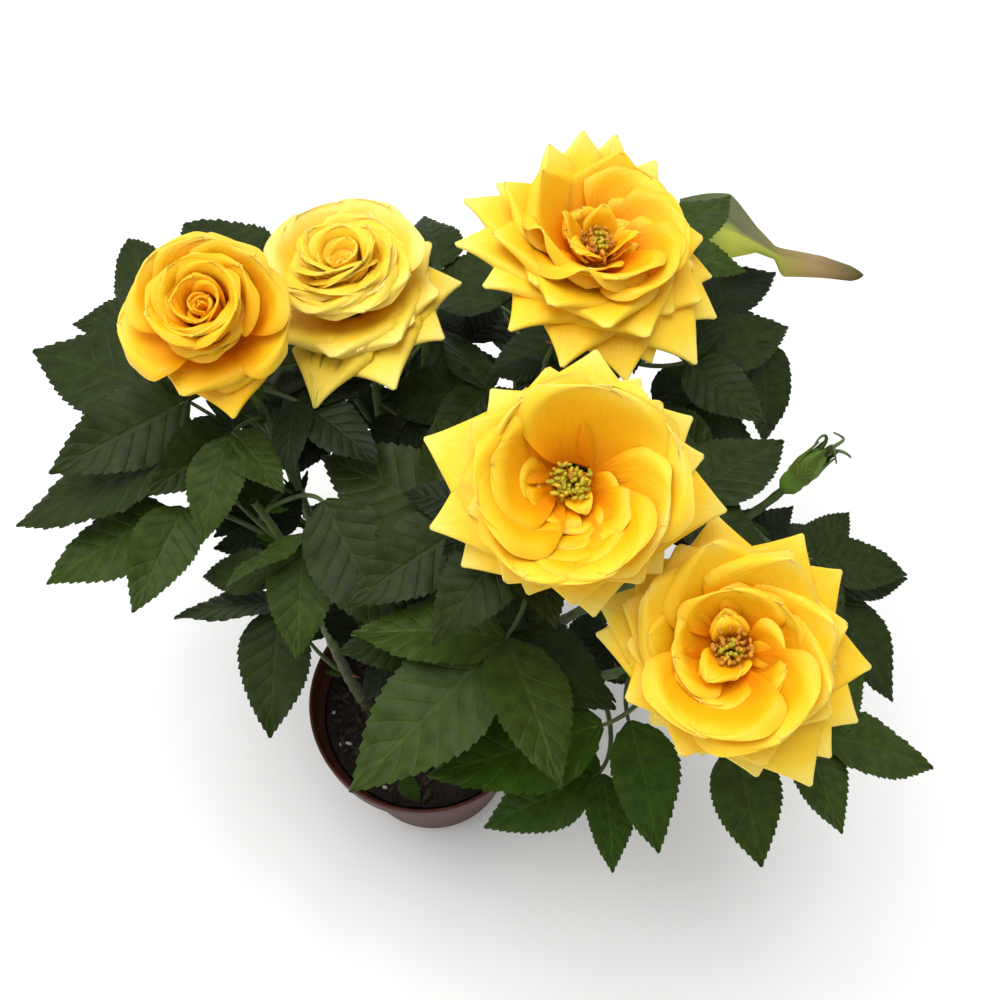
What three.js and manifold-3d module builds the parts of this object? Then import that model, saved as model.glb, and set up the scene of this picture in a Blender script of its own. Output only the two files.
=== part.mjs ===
// Potted rose bush: a small patio rose with five yellow blooms and a green bud,
// in a thin plastic nursery pot. Millimetres, +Z up, +Y to the back of the plant.
// The origin is the centre of the pot's flat underside.
import * as THREE from 'three';
import { mergeVertices } from 'three/addons/utils/BufferGeometryUtils.js';
import Module from 'manifold-3d';

const wasm = await Module();
wasm.setup();

// ---------------------------------------------------------------- driving dimensions

const GAP = 0.3; // clear space left between neighbouring pieces
const SLIVER_GRIDS = [0.004, 0.003, 0.005, 0.008, 0.012, 0.02]; // steps that take up the slivers of a join

const POT = {
  height: 78,
  rimRadius: 45,
  baseRadius: 32,
  wall: 1.2,
  floor: 2,
  collarHeight: 11, // the stiffer band under the rim
  collarStep: 1.6, // how far the band stands out from the tapered wall
  footRecess: 1.0, // chamfer round the base
  collarChamfer: 0.6,
  lip: 1.5, // height of the straight lip at the rim
  sides: 24,
  drainHoles: 4,
  drainRadius: 2.5,
  drainCircle: 20,
};

const SOIL_TOP = 66; // height of the potting mix, 12 mm under the rim
const SOIL_EDGE = { width: 2, drop: 1 }; // worn edge of the potting mix along the wall

const CANE = { footRadius: 2.3, forkRadius: 1.7, tipRadius: 1.2, sides: 6, steps: 5 };
const STEM = { sides: 5, steps: 6 };
const BEND = { outward: 0.25, rise: 0.38, lean: 0.3 }; // how a shoot leaves the soil and reaches its tip
const FORK = 0.42; // share of each shoot at which the bare cane ends and its foliage begins
const STEM_END = 0.93; // share at which a flowering shoot's stem hands over to the flower stalk

const LEAF = {
  width: 0.55, // of its length
  halfThickness: 0.6,
  fold: 0.2, // lift of the two halves from the midrib
  droop: 0.1, // sag of the tip, as a share of the length
  bladeSides: 4,
  bladeRings: 4,
  stalkRadius: 0.8,
  stalkSides: 3,
  stalkSteps: 2,
  stalkRise: 10, // slope at which a stalk reaches its end leaflet
  stalkBend: 0.45,
  pairDroop: 0.12,
  pairPlace: [0.86, 0.45], // where the side leaflets sit on the stalk
  pairAngle: [58, 66],
  pairSize: [0.8, 0.62],
  seat: 1, // how deep an end leaflet's root runs into its stalk
};

// Least distances kept between sample points, taken at these shares of a leaflet's length and width.
const CLEAR = { leaflet: 6.5, limb: 3.5, shares: [0.25, 0.45, 0.65, 0.85, 1], width: 0.8 };

// Shoots: foot on the soil, tip, direction in which the tip points, seeded fill leaves.
const SHOOTS = {
  west: { foot: [-13, 5], tip: [-53, 53, 230], lean: [-110, 72], fill: 3 },
  north_west: { foot: [-5, 13], tip: [-14, 73, 210], lean: [-95, 78], fill: 3 },
  north_east: { foot: [7, 14], tip: [54, 73, 244], lean: [-85, 68], fill: 3 },
  centre: { foot: [5, 2], tip: [48, -2, 247], lean: [-95, 62], fill: 2 },
  south_east: { foot: [15, -8], tip: [91, -38, 217], lean: [-110, 66], fill: 2 },
  east: { foot: [18, 5], tip: [117, 20, 212], lean: [20, 62], fill: 2 },
  far_west: { foot: [-18, -5], tip: [-48, 22, 195], lean: [150, 62], fill: 2 },
  south: { foot: [2, -16], tip: [16, -26, 185], lean: [-40, 72], fill: 1 },
  back: { foot: [-3, 22], tip: [4, 92, 190], lean: [80, 55], fill: 7 },
  back_east: { foot: [15, 17], tip: [88, 108, 204], lean: [50, 60], fill: 4 },
};

// Compound leaves: share along the shoot; azimuth, reach and rise of the end leaflet's
// base; turn and slope of the end leaflet; its size (length); pairs of side leaflets.
const LEAVES = {
  west: [
    { share: 0.62, azimuth: 165, reach: 33, rise: 34, turn: -9, slope: -8, size: 59, pairs: 2 },
    { share: 0.7, azimuth: 133, reach: 66, rise: 12, turn: -18, slope: -8, size: 40, pairs: 1 },
    { share: 0.55, azimuth: 187, reach: 37, rise: 37, turn: 12, slope: -10, size: 54, pairs: 1 },
    { share: 0.76, azimuth: -114, reach: 18, rise: 15, turn: 10, slope: -18, size: 34, pairs: 1 },
  ],
  north_west: [
    { share: 0.66, azimuth: 133, reach: 58, rise: 32, turn: 0, slope: -7, size: 54, pairs: 2 },
    { share: 0.8, azimuth: 70, reach: 60, rise: -4, turn: 32, slope: -14, size: 38, pairs: 1 },
  ],
  north_east: [
    { share: 0.68, azimuth: 120, reach: 28, rise: 6, turn: 35, slope: -12, size: 36, pairs: 0 },
    { share: 0.74, azimuth: 124, reach: 31, rise: -10, turn: -20, slope: -8, size: 40, pairs: 1 },
    { share: 0.6, azimuth: 172, reach: 16, rise: 9, turn: 5, slope: -12, size: 40, pairs: 1 },
  ],
  centre: [
    { share: 0.58, azimuth: -104, reach: 43, rise: 20, turn: -34, slope: -10, size: 57, pairs: 1 },
    { share: 0.7, azimuth: 185, reach: 27, rise: 7, turn: -37, slope: -6, size: 53, pairs: 1 },
    { share: 0.62, azimuth: -146, reach: 20, rise: 10, turn: -33, slope: -12, size: 38, pairs: 0 },
    { share: 0.84, azimuth: 3, reach: 37, rise: -4, turn: 36, slope: -9, size: 42, pairs: 1 },
  ],
  south_east: [
    { share: 0.68, azimuth: -133, reach: 28, rise: 3, turn: -34, slope: -8, size: 55, pairs: 0 },
    { share: 0.6, azimuth: -99, reach: 20, rise: 8, turn: 25, slope: -22, size: 41, pairs: 0 },
    { share: 0.72, azimuth: -51, reach: 29, rise: -10, turn: -26, slope: -22, size: 38, pairs: 1 },
    { share: 0.8, azimuth: -28, reach: 42, rise: -12, turn: 18, slope: -16, size: 38, pairs: 1 },
    { share: 0.5, azimuth: -95, reach: 33, rise: -4, turn: -65, slope: -11, size: 38, pairs: 1 },
  ],
  east: [
    { share: 0.72, azimuth: -22, reach: 48, rise: 3, turn: -36, slope: -18, size: 36, pairs: 2 },
    { share: 0.86, azimuth: -32, reach: 24, rise: -3, turn: 30, slope: -8, size: 32, pairs: 1 },
  ],
  far_west: [
    { share: 0.8, azimuth: 170, reach: 36, rise: 17, turn: 36, slope: -13, size: 46, pairs: 1 },
    { share: 0.66, azimuth: -127, reach: 8, rise: 24, turn: -60, slope: -11, size: 28, pairs: 0 },
    { share: 0.78, azimuth: -26, reach: 8, rise: 22, turn: -66, slope: -20, size: 38, pairs: 1 },
    { share: 0.95, azimuth: -6, reach: 21, rise: 12, turn: -55, slope: -12, size: 49, pairs: 1 },
    { share: 0.56, azimuth: -140, reach: 12, rise: 24, turn: 46, slope: -22, size: 42, pairs: 1 },
  ],
  south: [
    { share: 0.9, azimuth: 23, reach: 17, rise: 11, turn: -55, slope: -12, size: 42, pairs: 1 },
    { share: 0.78, azimuth: 100, reach: 10, rise: 12, turn: 50, slope: -8, size: 40, pairs: 1 },
  ],
  back: [],
  back_east: [
    { share: 0.78, azimuth: -40, reach: 26, rise: 24, turn: 70, slope: -10, size: 42, pairs: 1 },
    { share: 0.9, azimuth: -26, reach: 39, rise: 4, turn: -54, slope: -45, size: 36, pairs: 0 },
    { share: 0.64, azimuth: -10, reach: 24, rise: 16, turn: -20, slope: -8, size: 44, pairs: 1 },
  ],
};

// A young leaf on the back shoot whose end is still rolled into a narrow spindle.
const FURLED = { shoot: 'back_east', share: 0.97, azimuth: 63, reach: 26, rise: -2, turn: -92, slope: 0,
  size: 28, spindle: 34, spindleFrom: 0.6, spindleWidth: 8, spindleTurn: 9, spindleDrop: 4, spindleSag: 2 };

// Fill leaves follow one seeded rule: two fifths of a turn from one leaf to the next.
const FILL = { seed: 660, first: 0.48, last: 0.95, turn: 144, jitter: 20, reach: [20, 34], rise: [4, 14],
  bend: 18, slope: [-16, -4], size: [36, 47], twoPairs: 0.25 };

// Blooms: radius and height of the solid heart, and the rings of petals from the outside in:
// count, radius and height of the root, length, notch depth, opening at root and tip, first azimuth.
const BLOOMS = {
  west: { heart: [8, 24], rings: [
    { count: 5, root: 4, height: 0, length: 30, notch: 0.28, open: [25, 100], first: 20 },
    { count: 4, root: 4, height: 3, length: 27, notch: 0.2, open: [14, 50], first: 55 },
  ] },
  north_west: { heart: [9, 25], rings: [
    { count: 6, root: 4, height: 0, length: 34, notch: 0.3, open: [38, 115], first: 0 },
    { count: 5, root: 4, height: 3, length: 31, notch: 0.24, open: [25, 84], first: 30 },
    { count: 4, root: 4, height: 6, length: 26, notch: 0.18, open: [14, 48], first: 5 },
  ] },
  north_east: { heart: [7, 14], rings: [
    { count: 7, root: 4, height: 0, length: 42, notch: 0.32, open: [60, 140], first: 10 },
    { count: 6, root: 4, height: 3, length: 38, notch: 0.28, open: [45, 108], first: 35 },
    { count: 5, root: 4, height: 6, length: 30, notch: 0.2, open: [28, 80], first: 5 },
  ] },
  centre: { heart: [7, 14], rings: [
    { count: 7, root: 4, height: 0, length: 39, notch: 0.32, open: [48, 112], first: 15 },
    { count: 6, root: 4, height: 3, length: 34, notch: 0.26, open: [34, 88], first: 45 },
    { count: 5, root: 4, height: 6, length: 27, notch: 0.18, open: [20, 60], first: 10 },
  ] },
  south_east: { heart: [7, 14], rings: [
    { count: 7, root: 4, height: 0, length: 39, notch: 0.32, open: [50, 112], first: 0 },
    { count: 6, root: 4, height: 3, length: 34, notch: 0.26, open: [36, 86], first: 25 },
    { count: 5, root: 4, height: 6, length: 27, notch: 0.18, open: [22, 62], first: 60 },
  ] },
};
const PETAL = { thickness: 1.4, steps: 4, rows: [0, 0.55, 1], crease: 2.2, point: 2 };
const SEPAL = { count: 5, length: 17, width: 0.32, slope: -40, rings: 3, root: 0.4 };
const HIP = { radius: 4.8, depth: 6, sides: 8 };
const BUD = { radius: 6.5, length: 22, sides: 8, sepals: 4, sepalLength: 26, sepalSlope: 62 };

// ---------------------------------------------------------------- directions and chance

const UP = new THREE.Vector3(0, 0, 1);

function point(x, y, z) {
  return new THREE.Vector3(x, y, z);
}

/** Unit vector at an azimuth from +X towards +Y and a slope above the level, in degrees. */
function heading(azimuth, slope = 0) {
  const a = THREE.MathUtils.degToRad(azimuth);
  const s = THREE.MathUtils.degToRad(slope);
  return point(Math.cos(s) * Math.cos(a), Math.cos(s) * Math.sin(a), Math.sin(s));
}

/** a + b * scale, as a new vector. */
function along(a, b, scale) {
  return a.clone().addScaledVector(b, scale);
}

/** Side and upper normal of a direction, with side x direction = normal. */
function sideAndNormal(direction) {
  const side = direction.clone().cross(UP).normalize();
  return { side, normal: side.clone().cross(direction) };
}

/** Seeded chance between 0 and 1 (mulberry32). */
function seeded(seed) {
  let state = seed >>> 0;
  return () => {
    state = (state + 0x6d2b79f5) >>> 0;
    let mixed = Math.imul(state ^ (state >>> 15), 1 | state);
    mixed = (mixed + Math.imul(mixed ^ (mixed >>> 7), 61 | mixed)) ^ mixed;
    return ((mixed ^ (mixed >>> 14)) >>> 0) / 4294967296;
  };
}

// ---------------------------------------------------------------- solids

/** Closed geometry to a solid that can be joined and cut. */
function toSolid(geometry) {
  const bare = geometry.clone();
  bare.deleteAttribute('normal');
  bare.deleteAttribute('uv');
  const merged = mergeVertices(bare, 1e-4);
  return new wasm.Manifold(new wasm.Mesh({
    numProp: 3,
    vertProperties: new Float32Array(merged.attributes.position.array),
    triVerts: new Uint32Array(merged.index.array),
  }));
}

/** Vertices and triangles of a solid with every vertex moved to the nearest point of a grid. */
function onGrid(solid, grid) {
  const { vertProperties, triVerts } = solid.getMesh();
  const numbers = new Map();
  const vertices = [];
  const number = (i) => {
    const cell = [0, 1, 2].map((axis) => Math.round(vertProperties[3 * i + axis] / grid));
    const key = cell.join();
    if (!numbers.has(key)) {
      numbers.set(key, numbers.size);
      vertices.push(...cell.map((step) => step * grid));
    }
    return numbers.get(key);
  };
  const faces = new Map();
  for (let t = 0; t < triVerts.length; t += 3) {
    const face = [number(triVerts[t]), number(triVerts[t + 1]), number(triVerts[t + 2])];
    const key = [...face].sort((a, b) => a - b).join();
    if (faces.has(key)) {
      faces.delete(key); // two faces that fell shut on each other
    } else if (new Set(face).size === 3) {
      faces.set(key, face);
    }
  }
  return { vertices, faces: [...faces.values()] };
}

/** The faces of the largest closed surface: loose scraps and sealed hollows are left out. */
function largestSurface(vertices, faces) {
  const parent = Array.from({ length: vertices.length / 3 }, (_, i) => i);
  const find = (i) => {
    let top = i;
    while (parent[top] !== top) {
      parent[top] = parent[parent[top]];
      top = parent[top];
    }
    return top;
  };
  for (const [a, b, c] of faces) {
    parent[find(a)] = find(b);
    parent[find(c)] = find(b);
  }
  const surfaces = new Map();
  for (const face of faces) {
    const surface = find(face[0]);
    surfaces.set(surface, [...(surfaces.get(surface) ?? []), face]);
  }
  return [...surfaces.values()].reduce((best, surface) => (surface.length > best.length ? surface : best));
}

/** True where each edge is shared by exactly two faces that run along it in opposite directions. */
function isClosed(faces) {
  const edges = new Set();
  for (const [a, b, c] of faces) {
    for (const edge of [`${a} ${b}`, `${b} ${c}`, `${c} ${a}`]) {
      if (edges.has(edge)) {
        return false;
      }
      edges.add(edge);
    }
  }
  return [...edges].every((edge) => edges.has(edge.split(' ').reverse().join(' ')));
}

/** A joined solid as one closed body without slivers, on the finest grid that keeps it closed, or null. */
function closedBody(solid) {
  for (const grid of SLIVER_GRIDS) {
    const { vertices, faces } = onGrid(solid, grid);
    const surface = largestSurface(vertices, faces);
    if (isClosed(surface)) {
      return new wasm.Manifold(new wasm.Mesh({
        numProp: 3,
        vertProperties: new Float32Array(vertices),
        triVerts: new Uint32Array(surface.flat()),
      }));
    }
  }
  return null;
}

function toGeometry(solid) {
  const mesh = solid.getMesh();
  const geometry = new THREE.BufferGeometry();
  geometry.setAttribute('position', new THREE.BufferAttribute(new Float32Array(mesh.vertProperties), 3));
  geometry.setIndex(new THREE.BufferAttribute(new Uint32Array(mesh.triVerts), 1));
  geometry.computeVertexNormals();
  return geometry;
}

/** Moves every vertex of a geometry by a function from its own place to its new one. */
function reshape(geometry, place) {
  const position = geometry.attributes.position;
  const vertex = new THREE.Vector3();
  for (let i = 0; i < position.count; i += 1) {
    const moved = place(vertex.fromBufferAttribute(position, i));
    position.setXYZ(i, moved.x, moved.y, moved.z);
  }
  return geometry;
}

/** Tapering limb along a curve, from share `from` to share `to`. */
function limb(curve, from, to, startRadius, endRadius, sides, steps) {
  const tube = new THREE.CylinderGeometry(endRadius, startRadius, 1, sides, steps);
  return toSolid(reshape(tube, (v) => {
    const share = from + (to - from) * (v.y + 0.5);
    const { side, normal } = sideAndNormal(curve.getTangent(share));
    return along(along(curve.getPoint(share), side, v.x), normal, v.z);
  }));
}

/** Half width of a leaf blade at a share of its length: round foot, long point. */
function bladeHalfWidth(share, length, ratio) {
  const foot = 0.55;
  const tip = 0.95;
  const widest = foot / (foot + tip);
  const peak = widest ** foot * (1 - widest) ** tip;
  return (ratio * length / 2) * (share ** foot * (1 - share) ** tip) / peak;
}

/** Leaf blade: a sphere pressed flat, folded along the midrib and drooping to its tip. */
function blade(root, direction, side, normal, length, ratio, rings) {
  const ball = new THREE.SphereGeometry(1, LEAF.bladeSides, rings);
  return toSolid(reshape(ball, (v) => {
    const angle = Math.acos(THREE.MathUtils.clamp(v.y, -1, 1));
    const share = angle / Math.PI;
    const round = Math.max(Math.sin(angle), 1e-6);
    const halfWidth = bladeHalfWidth(share, length, ratio) * Math.abs(v.x) / round;
    const lift = LEAF.fold * halfWidth - LEAF.droop * length * share * share
      + LEAF.halfThickness * (v.z / round) * (share > 0 && share < 1 ? 1 : 0);
    const across = -Math.sign(v.x) * halfWidth;
    return along(along(along(root, direction, length * share), side, across), normal, lift);
  }));
}

// ---------------------------------------------------------------- pot and soil

function potWallRadius(height) {
  const share = height / POT.height;
  return POT.baseRadius + (POT.rimRadius - POT.collarStep - POT.baseRadius) * share;
}

function lathe(profile, sides) {
  const points = profile.map(([radius, height]) => new THREE.Vector2(radius, height));
  return new THREE.LatheGeometry(points, sides).rotateX(Math.PI / 2);
}

function makePot() {
  const collarFoot = POT.height - POT.collarHeight;
  const innerRim = POT.rimRadius - POT.wall;
  const shell = toSolid(lathe([
    [0, 0],
    [POT.baseRadius - POT.footRecess, 0],
    [POT.baseRadius, POT.footRecess],
    [potWallRadius(collarFoot), collarFoot],
    [POT.rimRadius - POT.collarChamfer, collarFoot + POT.collarChamfer],
    [POT.rimRadius, POT.height - POT.lip],
    [POT.rimRadius, POT.height],
    [innerRim, POT.height],
    [innerRim - POT.collarChamfer, collarFoot + POT.wall],
    [potWallRadius(collarFoot) - POT.wall, collarFoot - POT.wall],
    [potWallRadius(POT.floor) - POT.wall, POT.floor],
    [0, POT.floor],
  ], POT.sides));
  let pot = shell;
  for (let hole = 0; hole < POT.drainHoles; hole += 1) {
    const place = heading((hole * 360) / POT.drainHoles).multiplyScalar(POT.drainCircle);
    const drill = new THREE.CylinderGeometry(POT.drainRadius, POT.drainRadius, POT.floor * 4, 8);
    pot = pot.subtract(toSolid(drill.rotateX(Math.PI / 2).translate(place.x, place.y, 0)));
  }
  return pot;
}

function makeSoil() {
  const inset = POT.wall + GAP;
  const foot = POT.floor + GAP;
  return toSolid(lathe([
    [0, foot],
    [potWallRadius(foot) - inset, foot],
    [potWallRadius(SOIL_TOP - SOIL_EDGE.drop) - inset, SOIL_TOP - SOIL_EDGE.drop],
    [potWallRadius(SOIL_TOP) - inset - SOIL_EDGE.width, SOIL_TOP],
    [0, SOIL_TOP],
  ], POT.sides));
}

// ---------------------------------------------------------------- shoots

/** A shoot rises steeply from the soil and bends over to point the way its tip leans. */
function shootCurve(shoot) {
  const foot = point(shoot.foot[0], shoot.foot[1], SOIL_TOP + GAP);
  const tip = point(...shoot.tip);
  const reach = foot.distanceTo(tip);
  const outward = point(foot.x, foot.y, 0).normalize().multiplyScalar(BEND.outward).add(UP).normalize();
  const risen = along(foot, outward, reach * BEND.rise);
  const leaning = along(tip, heading(...shoot.lean), -reach * BEND.lean);
  return new THREE.CubicBezierCurve3(foot, risen, leaning, tip);
}

const curves = Object.fromEntries(Object.entries(SHOOTS).map(([name, shoot]) => [name, shootCurve(shoot)]));

/** Radius of a shoot at a share of its length. */
function shootRadius(share) {
  if (share < FORK) {
    return THREE.MathUtils.lerp(CANE.footRadius, CANE.forkRadius, share / FORK);
  }
  return THREE.MathUtils.lerp(CANE.forkRadius, CANE.tipRadius, (share - FORK) / (1 - FORK));
}

/** Share of a curve that a length of one gap takes up at a share. */
function gapShare(curve, share) {
  const step = 0.01;
  return (GAP * step) / curve.getPoint(share).distanceTo(curve.getPoint(share - step));
}

/** Bare lower part of a shoot, with its foot cut level just above the soil. */
function makeCane(curve) {
  const top = FORK - gapShare(curve, FORK);
  const cane = limb(curve, 0, top, CANE.footRadius, CANE.forkRadius, CANE.sides, CANE.steps);
  const below = new THREE.BoxGeometry(2 * POT.rimRadius, 2 * POT.rimRadius, SOIL_TOP);
  return closedBody(cane.subtract(toSolid(below.translate(0, 0, SOIL_TOP / 2 + GAP))));
}

/** Stem of a shoot's foliage, from the top of its cane to the flower stalk, or to the shoot's end. */
function makeStem(name) {
  const curve = curves[name];
  const end = carriesFlower(name) ? STEM_END - gapShare(curve, STEM_END) : 1;
  return limb(curve, FORK, end, shootRadius(FORK), shootRadius(end), STEM.sides, STEM.steps);
}

function carriesFlower(name) {
  return name in BLOOMS || name === 'east';
}

// ---------------------------------------------------------------- leaves

/** Stalk curve, root of the end leaflet and its direction, for one compound leaf. */
function leafPath(curve, { share, azimuth, reach, rise, turn, slope }) {
  const start = curve.getPoint(share);
  const end = along(start, heading(azimuth), reach).add(point(0, 0, rise));
  const arrive = heading(azimuth + turn, LEAF.stalkRise);
  const stalk = new THREE.QuadraticBezierCurve3(start, along(end, arrive, -reach * LEAF.stalkBend), end);
  return { stalk, end, direction: heading(azimuth + turn, slope) };
}

/** The leaflets of one compound leaf as places: root, direction, side, normal, length. */
function leafletPlaces(path, size, pairs) {
  const main = sideAndNormal(path.direction);
  const places = [{ root: path.end, direction: path.direction, ...main, length: size, end: true }];
  for (let pair = 0; pair < pairs; pair += 1) {
    const share = LEAF.pairPlace[pair];
    const forward = path.stalk.getTangent(share);
    const { side, normal } = sideAndNormal(forward);
    const angle = THREE.MathUtils.degToRad(LEAF.pairAngle[pair]);
    for (const hand of [-1, 1]) {
      const direction = forward.clone().multiplyScalar(Math.cos(angle));
      direction.addScaledVector(side, hand * Math.sin(angle));
      direction.addScaledVector(normal, -LEAF.pairDroop).normalize();
      const across = direction.clone().cross(normal).normalize();
      places.push({ root: path.stalk.getPoint(share), direction, side: across,
        normal: across.clone().cross(direction), length: size * LEAF.pairSize[pair], end: false });
    }
  }
  return places;
}

/** Points on a leaflet that stand for it when distances are kept. */
function leafletSamples(place) {
  const samples = [];
  for (const share of CLEAR.shares) {
    const middle = along(place.root, place.direction, place.length * share);
    middle.addScaledVector(place.normal, -LEAF.droop * place.length * share * share);
    const halfWidth = bladeHalfWidth(share, place.length, LEAF.width) * CLEAR.width;
    samples.push(middle, along(middle, place.side, halfWidth), along(middle, place.side, -halfWidth));
  }
  return samples;
}

function tooClose(samples, others, distance) {
  const limit = distance * distance;
  return samples.some((a) => others.some((b) => a.distanceToSquared(b) < limit));
}

function leafletSolid(place) {
  const seat = place.end ? LEAF.seat : LEAF.stalkRadius * 0.5;
  const root = along(place.root, place.direction, -seat);
  const { direction, side, normal, length } = place;
  return blade(root, direction, side, normal, length + seat, LEAF.width, LEAF.bladeRings);
}

function stalkSolid(stalk) {
  return limb(stalk, 0, 1, LEAF.stalkRadius * 1.2, LEAF.stalkRadius, LEAF.stalkSides, LEAF.stalkSteps);
}

/** Rows of the seeded fill leaves of one shoot. */
function fillRows(count, chance) {
  const between = ([low, high]) => low + (high - low) * chance();
  const first = 360 * chance();
  const rows = [];
  for (let k = 0; k < count; k += 1) {
    const share = FILL.first + (FILL.last - FILL.first) * ((k + 0.5) / count);
    const azimuth = first + FILL.turn * k + FILL.jitter * (2 * chance() - 1);
    const reach = between(FILL.reach);
    const rise = between(FILL.rise);
    const turn = FILL.bend * (2 * chance() - 1);
    const slope = between(FILL.slope);
    const size = between(FILL.size);
    rows.push({ share, azimuth, reach, rise, turn, slope, size, pairs: chance() < FILL.twoPairs ? 2 : 1 });
  }
  return rows;
}

// ---------------------------------------------------------------- blooms

/** Frame at the tip of a shoot: the flower's axis and two directions across it. */
function flowerFrame(name) {
  const axis = heading(...SHOOTS[name].lean);
  const { side, normal } = sideAndNormal(axis);
  return { base: point(...SHOOTS[name].tip), axis, side, normal };
}

/**
 * Corolla: one ring of overlapping petals as a single scalloped cup. Its wall opens from the
 * root to the tip angle, and runs out to full length at each petal's point.
 */
function corolla(frame, { count, root, height: rootHeight, length, notch, open, first }) {
  const from = THREE.MathUtils.degToRad(open[0]);
  const bend = THREE.MathUtils.degToRad(open[1] - open[0]);
  const start = THREE.MathUtils.degToRad(first);
  const wall = PETAL.thickness / 2;
  const outer = PETAL.rows.map((share) => new THREE.Vector2(1 + share, 1));
  const inner = PETAL.rows.slice(0, -1).reverse().map((share) => new THREE.Vector2(1 + share, -1));
  const section = [...outer, ...inner, outer[0]];
  const ring = new THREE.LatheGeometry(section, count * PETAL.steps);
  return toSolid(reshape(ring, (v) => {
    const share = Math.hypot(v.x, v.z) - 1;
    const azimuth = Math.atan2(v.x, v.z);
    const fromPoint = Math.abs(Math.sin((azimuth * count) / 2));
    const reach = share * (1 - notch * share * fromPoint ** PETAL.point);
    const angle = from + bend * reach;
    const crease = PETAL.crease * share * (fromPoint - 0.5);
    const out = wall * v.y * (1 - 0.4 * share) + crease;
    const radius = root + (length * (Math.cos(from) - Math.cos(angle))) / bend + out * Math.cos(angle);
    const height = rootHeight + (length * (Math.sin(angle) - Math.sin(from))) / bend - out * Math.sin(angle);
    const radial = around(frame, azimuth + start);
    return along(along(frame.base, frame.axis, height), radial, radius);
  }));
}

/** Direction across a flower's axis at an azimuth in radians. */
function around(frame, azimuth) {
  return along(frame.side.clone().multiplyScalar(Math.cos(azimuth)), frame.normal, -Math.sin(azimuth));
}

/** Round piece about the flower's axis, from a profile of radius and height. */
function flowerLathe(frame, profile, sides) {
  return toSolid(reshape(lathe(profile, sides), (v) => {
    const place = along(frame.base, frame.side, v.x);
    return place.addScaledVector(frame.normal, -v.y).addScaledVector(frame.axis, v.z);
  }));
}

function sepals(frame, count, length, slope) {
  const solids = [];
  for (let k = 0; k < count; k += 1) {
    const out = around(frame, (2 * Math.PI * k) / count);
    const tilt = THREE.MathUtils.degToRad(slope);
    const direction = along(out.clone().multiplyScalar(Math.cos(tilt)), frame.axis, Math.sin(tilt));
    const across = direction.clone().cross(frame.axis).normalize();
    const root = along(frame.base, out, HIP.radius * SEPAL.root);
    const upper = across.clone().cross(direction);
    solids.push(blade(root, direction, across, upper, length, SEPAL.width, SEPAL.rings));
  }
  return solids;
}

function flowerStalk(name) {
  const curve = curves[name];
  return limb(curve, STEM_END, 1, shootRadius(STEM_END), CANE.forkRadius, CANE.sides, 2);
}

function makeBloom(name) {
  const { rings, heart: [heartRadius, heartHeight] } = BLOOMS[name];
  const frame = flowerFrame(name);
  const core = flowerLathe(frame, [
    [0, -HIP.depth],
    [1.8, -HIP.depth + 0.5],
    [HIP.radius, -1],
    [heartRadius * 0.8, 5],
    [heartRadius, heartHeight * 0.6],
    [heartRadius * 0.4, heartHeight],
    [0, heartHeight],
  ], HIP.sides);
  const calyx = sepals(frame, SEPAL.count, SEPAL.length, SEPAL.slope);
  const petals = rings.map((ring) => corolla(frame, ring));
  return closedBody(wasm.Manifold.union([flowerStalk(name), core, ...calyx, ...petals]));
}

function makeBud(name) {
  const frame = flowerFrame(name);
  const body = flowerLathe(frame, [
    [0, -HIP.depth], [2, -HIP.depth + 0.5], [4, -2], [3.6, 0], [BUD.radius, BUD.length * 0.4],
    [BUD.radius * 0.7, BUD.length * 0.75], [1, BUD.length], [0, BUD.length],
  ], BUD.sides);
  const crown = sepals(frame, BUD.sepals, BUD.sepalLength, BUD.sepalSlope);
  return closedBody(wasm.Manifold.union([flowerStalk(name), body, ...crown]));
}

// ---------------------------------------------------------------- materials and assembly

const MATERIALS = {
  pot: { color: 0x7a4234, roughness: 0.55 },
  soil: { color: 0x1d1714, roughness: 1 },
  cane: { color: 0x4d5a2c, roughness: 0.7 },
  leaf: { color: 0x24401f, roughness: 0.5 },
  petal: { color: 0xf2c52a, roughness: 0.6 },
  bud: { color: 0x5c7a2e, roughness: 0.6 },
};

const group = new THREE.Group();
const placed = []; // every finished solid, for the exact overlap test

function addNode(name, solid, look) {
  const material = new THREE.MeshStandardMaterial({ ...MATERIALS[look], metalness: 0 });
  const mesh = new THREE.Mesh(toGeometry(solid), material);
  mesh.name = name;
  group.add(mesh);
  placed.push(solid);
}

function overlap(a, b) {
  return a.intersect(b).volume() > 1e-6;
}

addNode('pot', makePot(), 'pot');
addNode('soil', makeSoil(), 'soil');
for (const name of Object.keys(SHOOTS)) {
  addNode(`cane_${name}`, makeCane(curves[name]), 'cane');
}
for (const name of Object.keys(BLOOMS)) {
  addNode(`bloom_${name}`, makeBloom(name), 'petal');
}
addNode('bud_east', makeBud('east'), 'bud');

// Stems are reserved before any leaf grows, so that no leaf is laid across one.
const foliage = Object.fromEntries(Object.keys(SHOOTS).map((name) => [name, makeStem(name)]));
const limbSamples = Object.values(curves).flatMap((curve) => curve.getPoints(24));
const leafSamples = []; // of every leaflet grown so far

/** Joins solids to a shoot's foliage, and tells whether the whole still closes. */
function join(name, solids) {
  const joined = closedBody(wasm.Manifold.union([foliage[name], ...solids]));
  foliage[name] = joined ?? foliage[name];
  return joined !== null;
}

/** True where a solid would run into a finished piece or another shoot's foliage. */
function blocked(name, solid) {
  const others = Object.keys(SHOOTS).filter((other) => other !== name).map((other) => foliage[other]);
  return [...placed, ...others].some((other) => overlap(solid, other));
}

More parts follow.
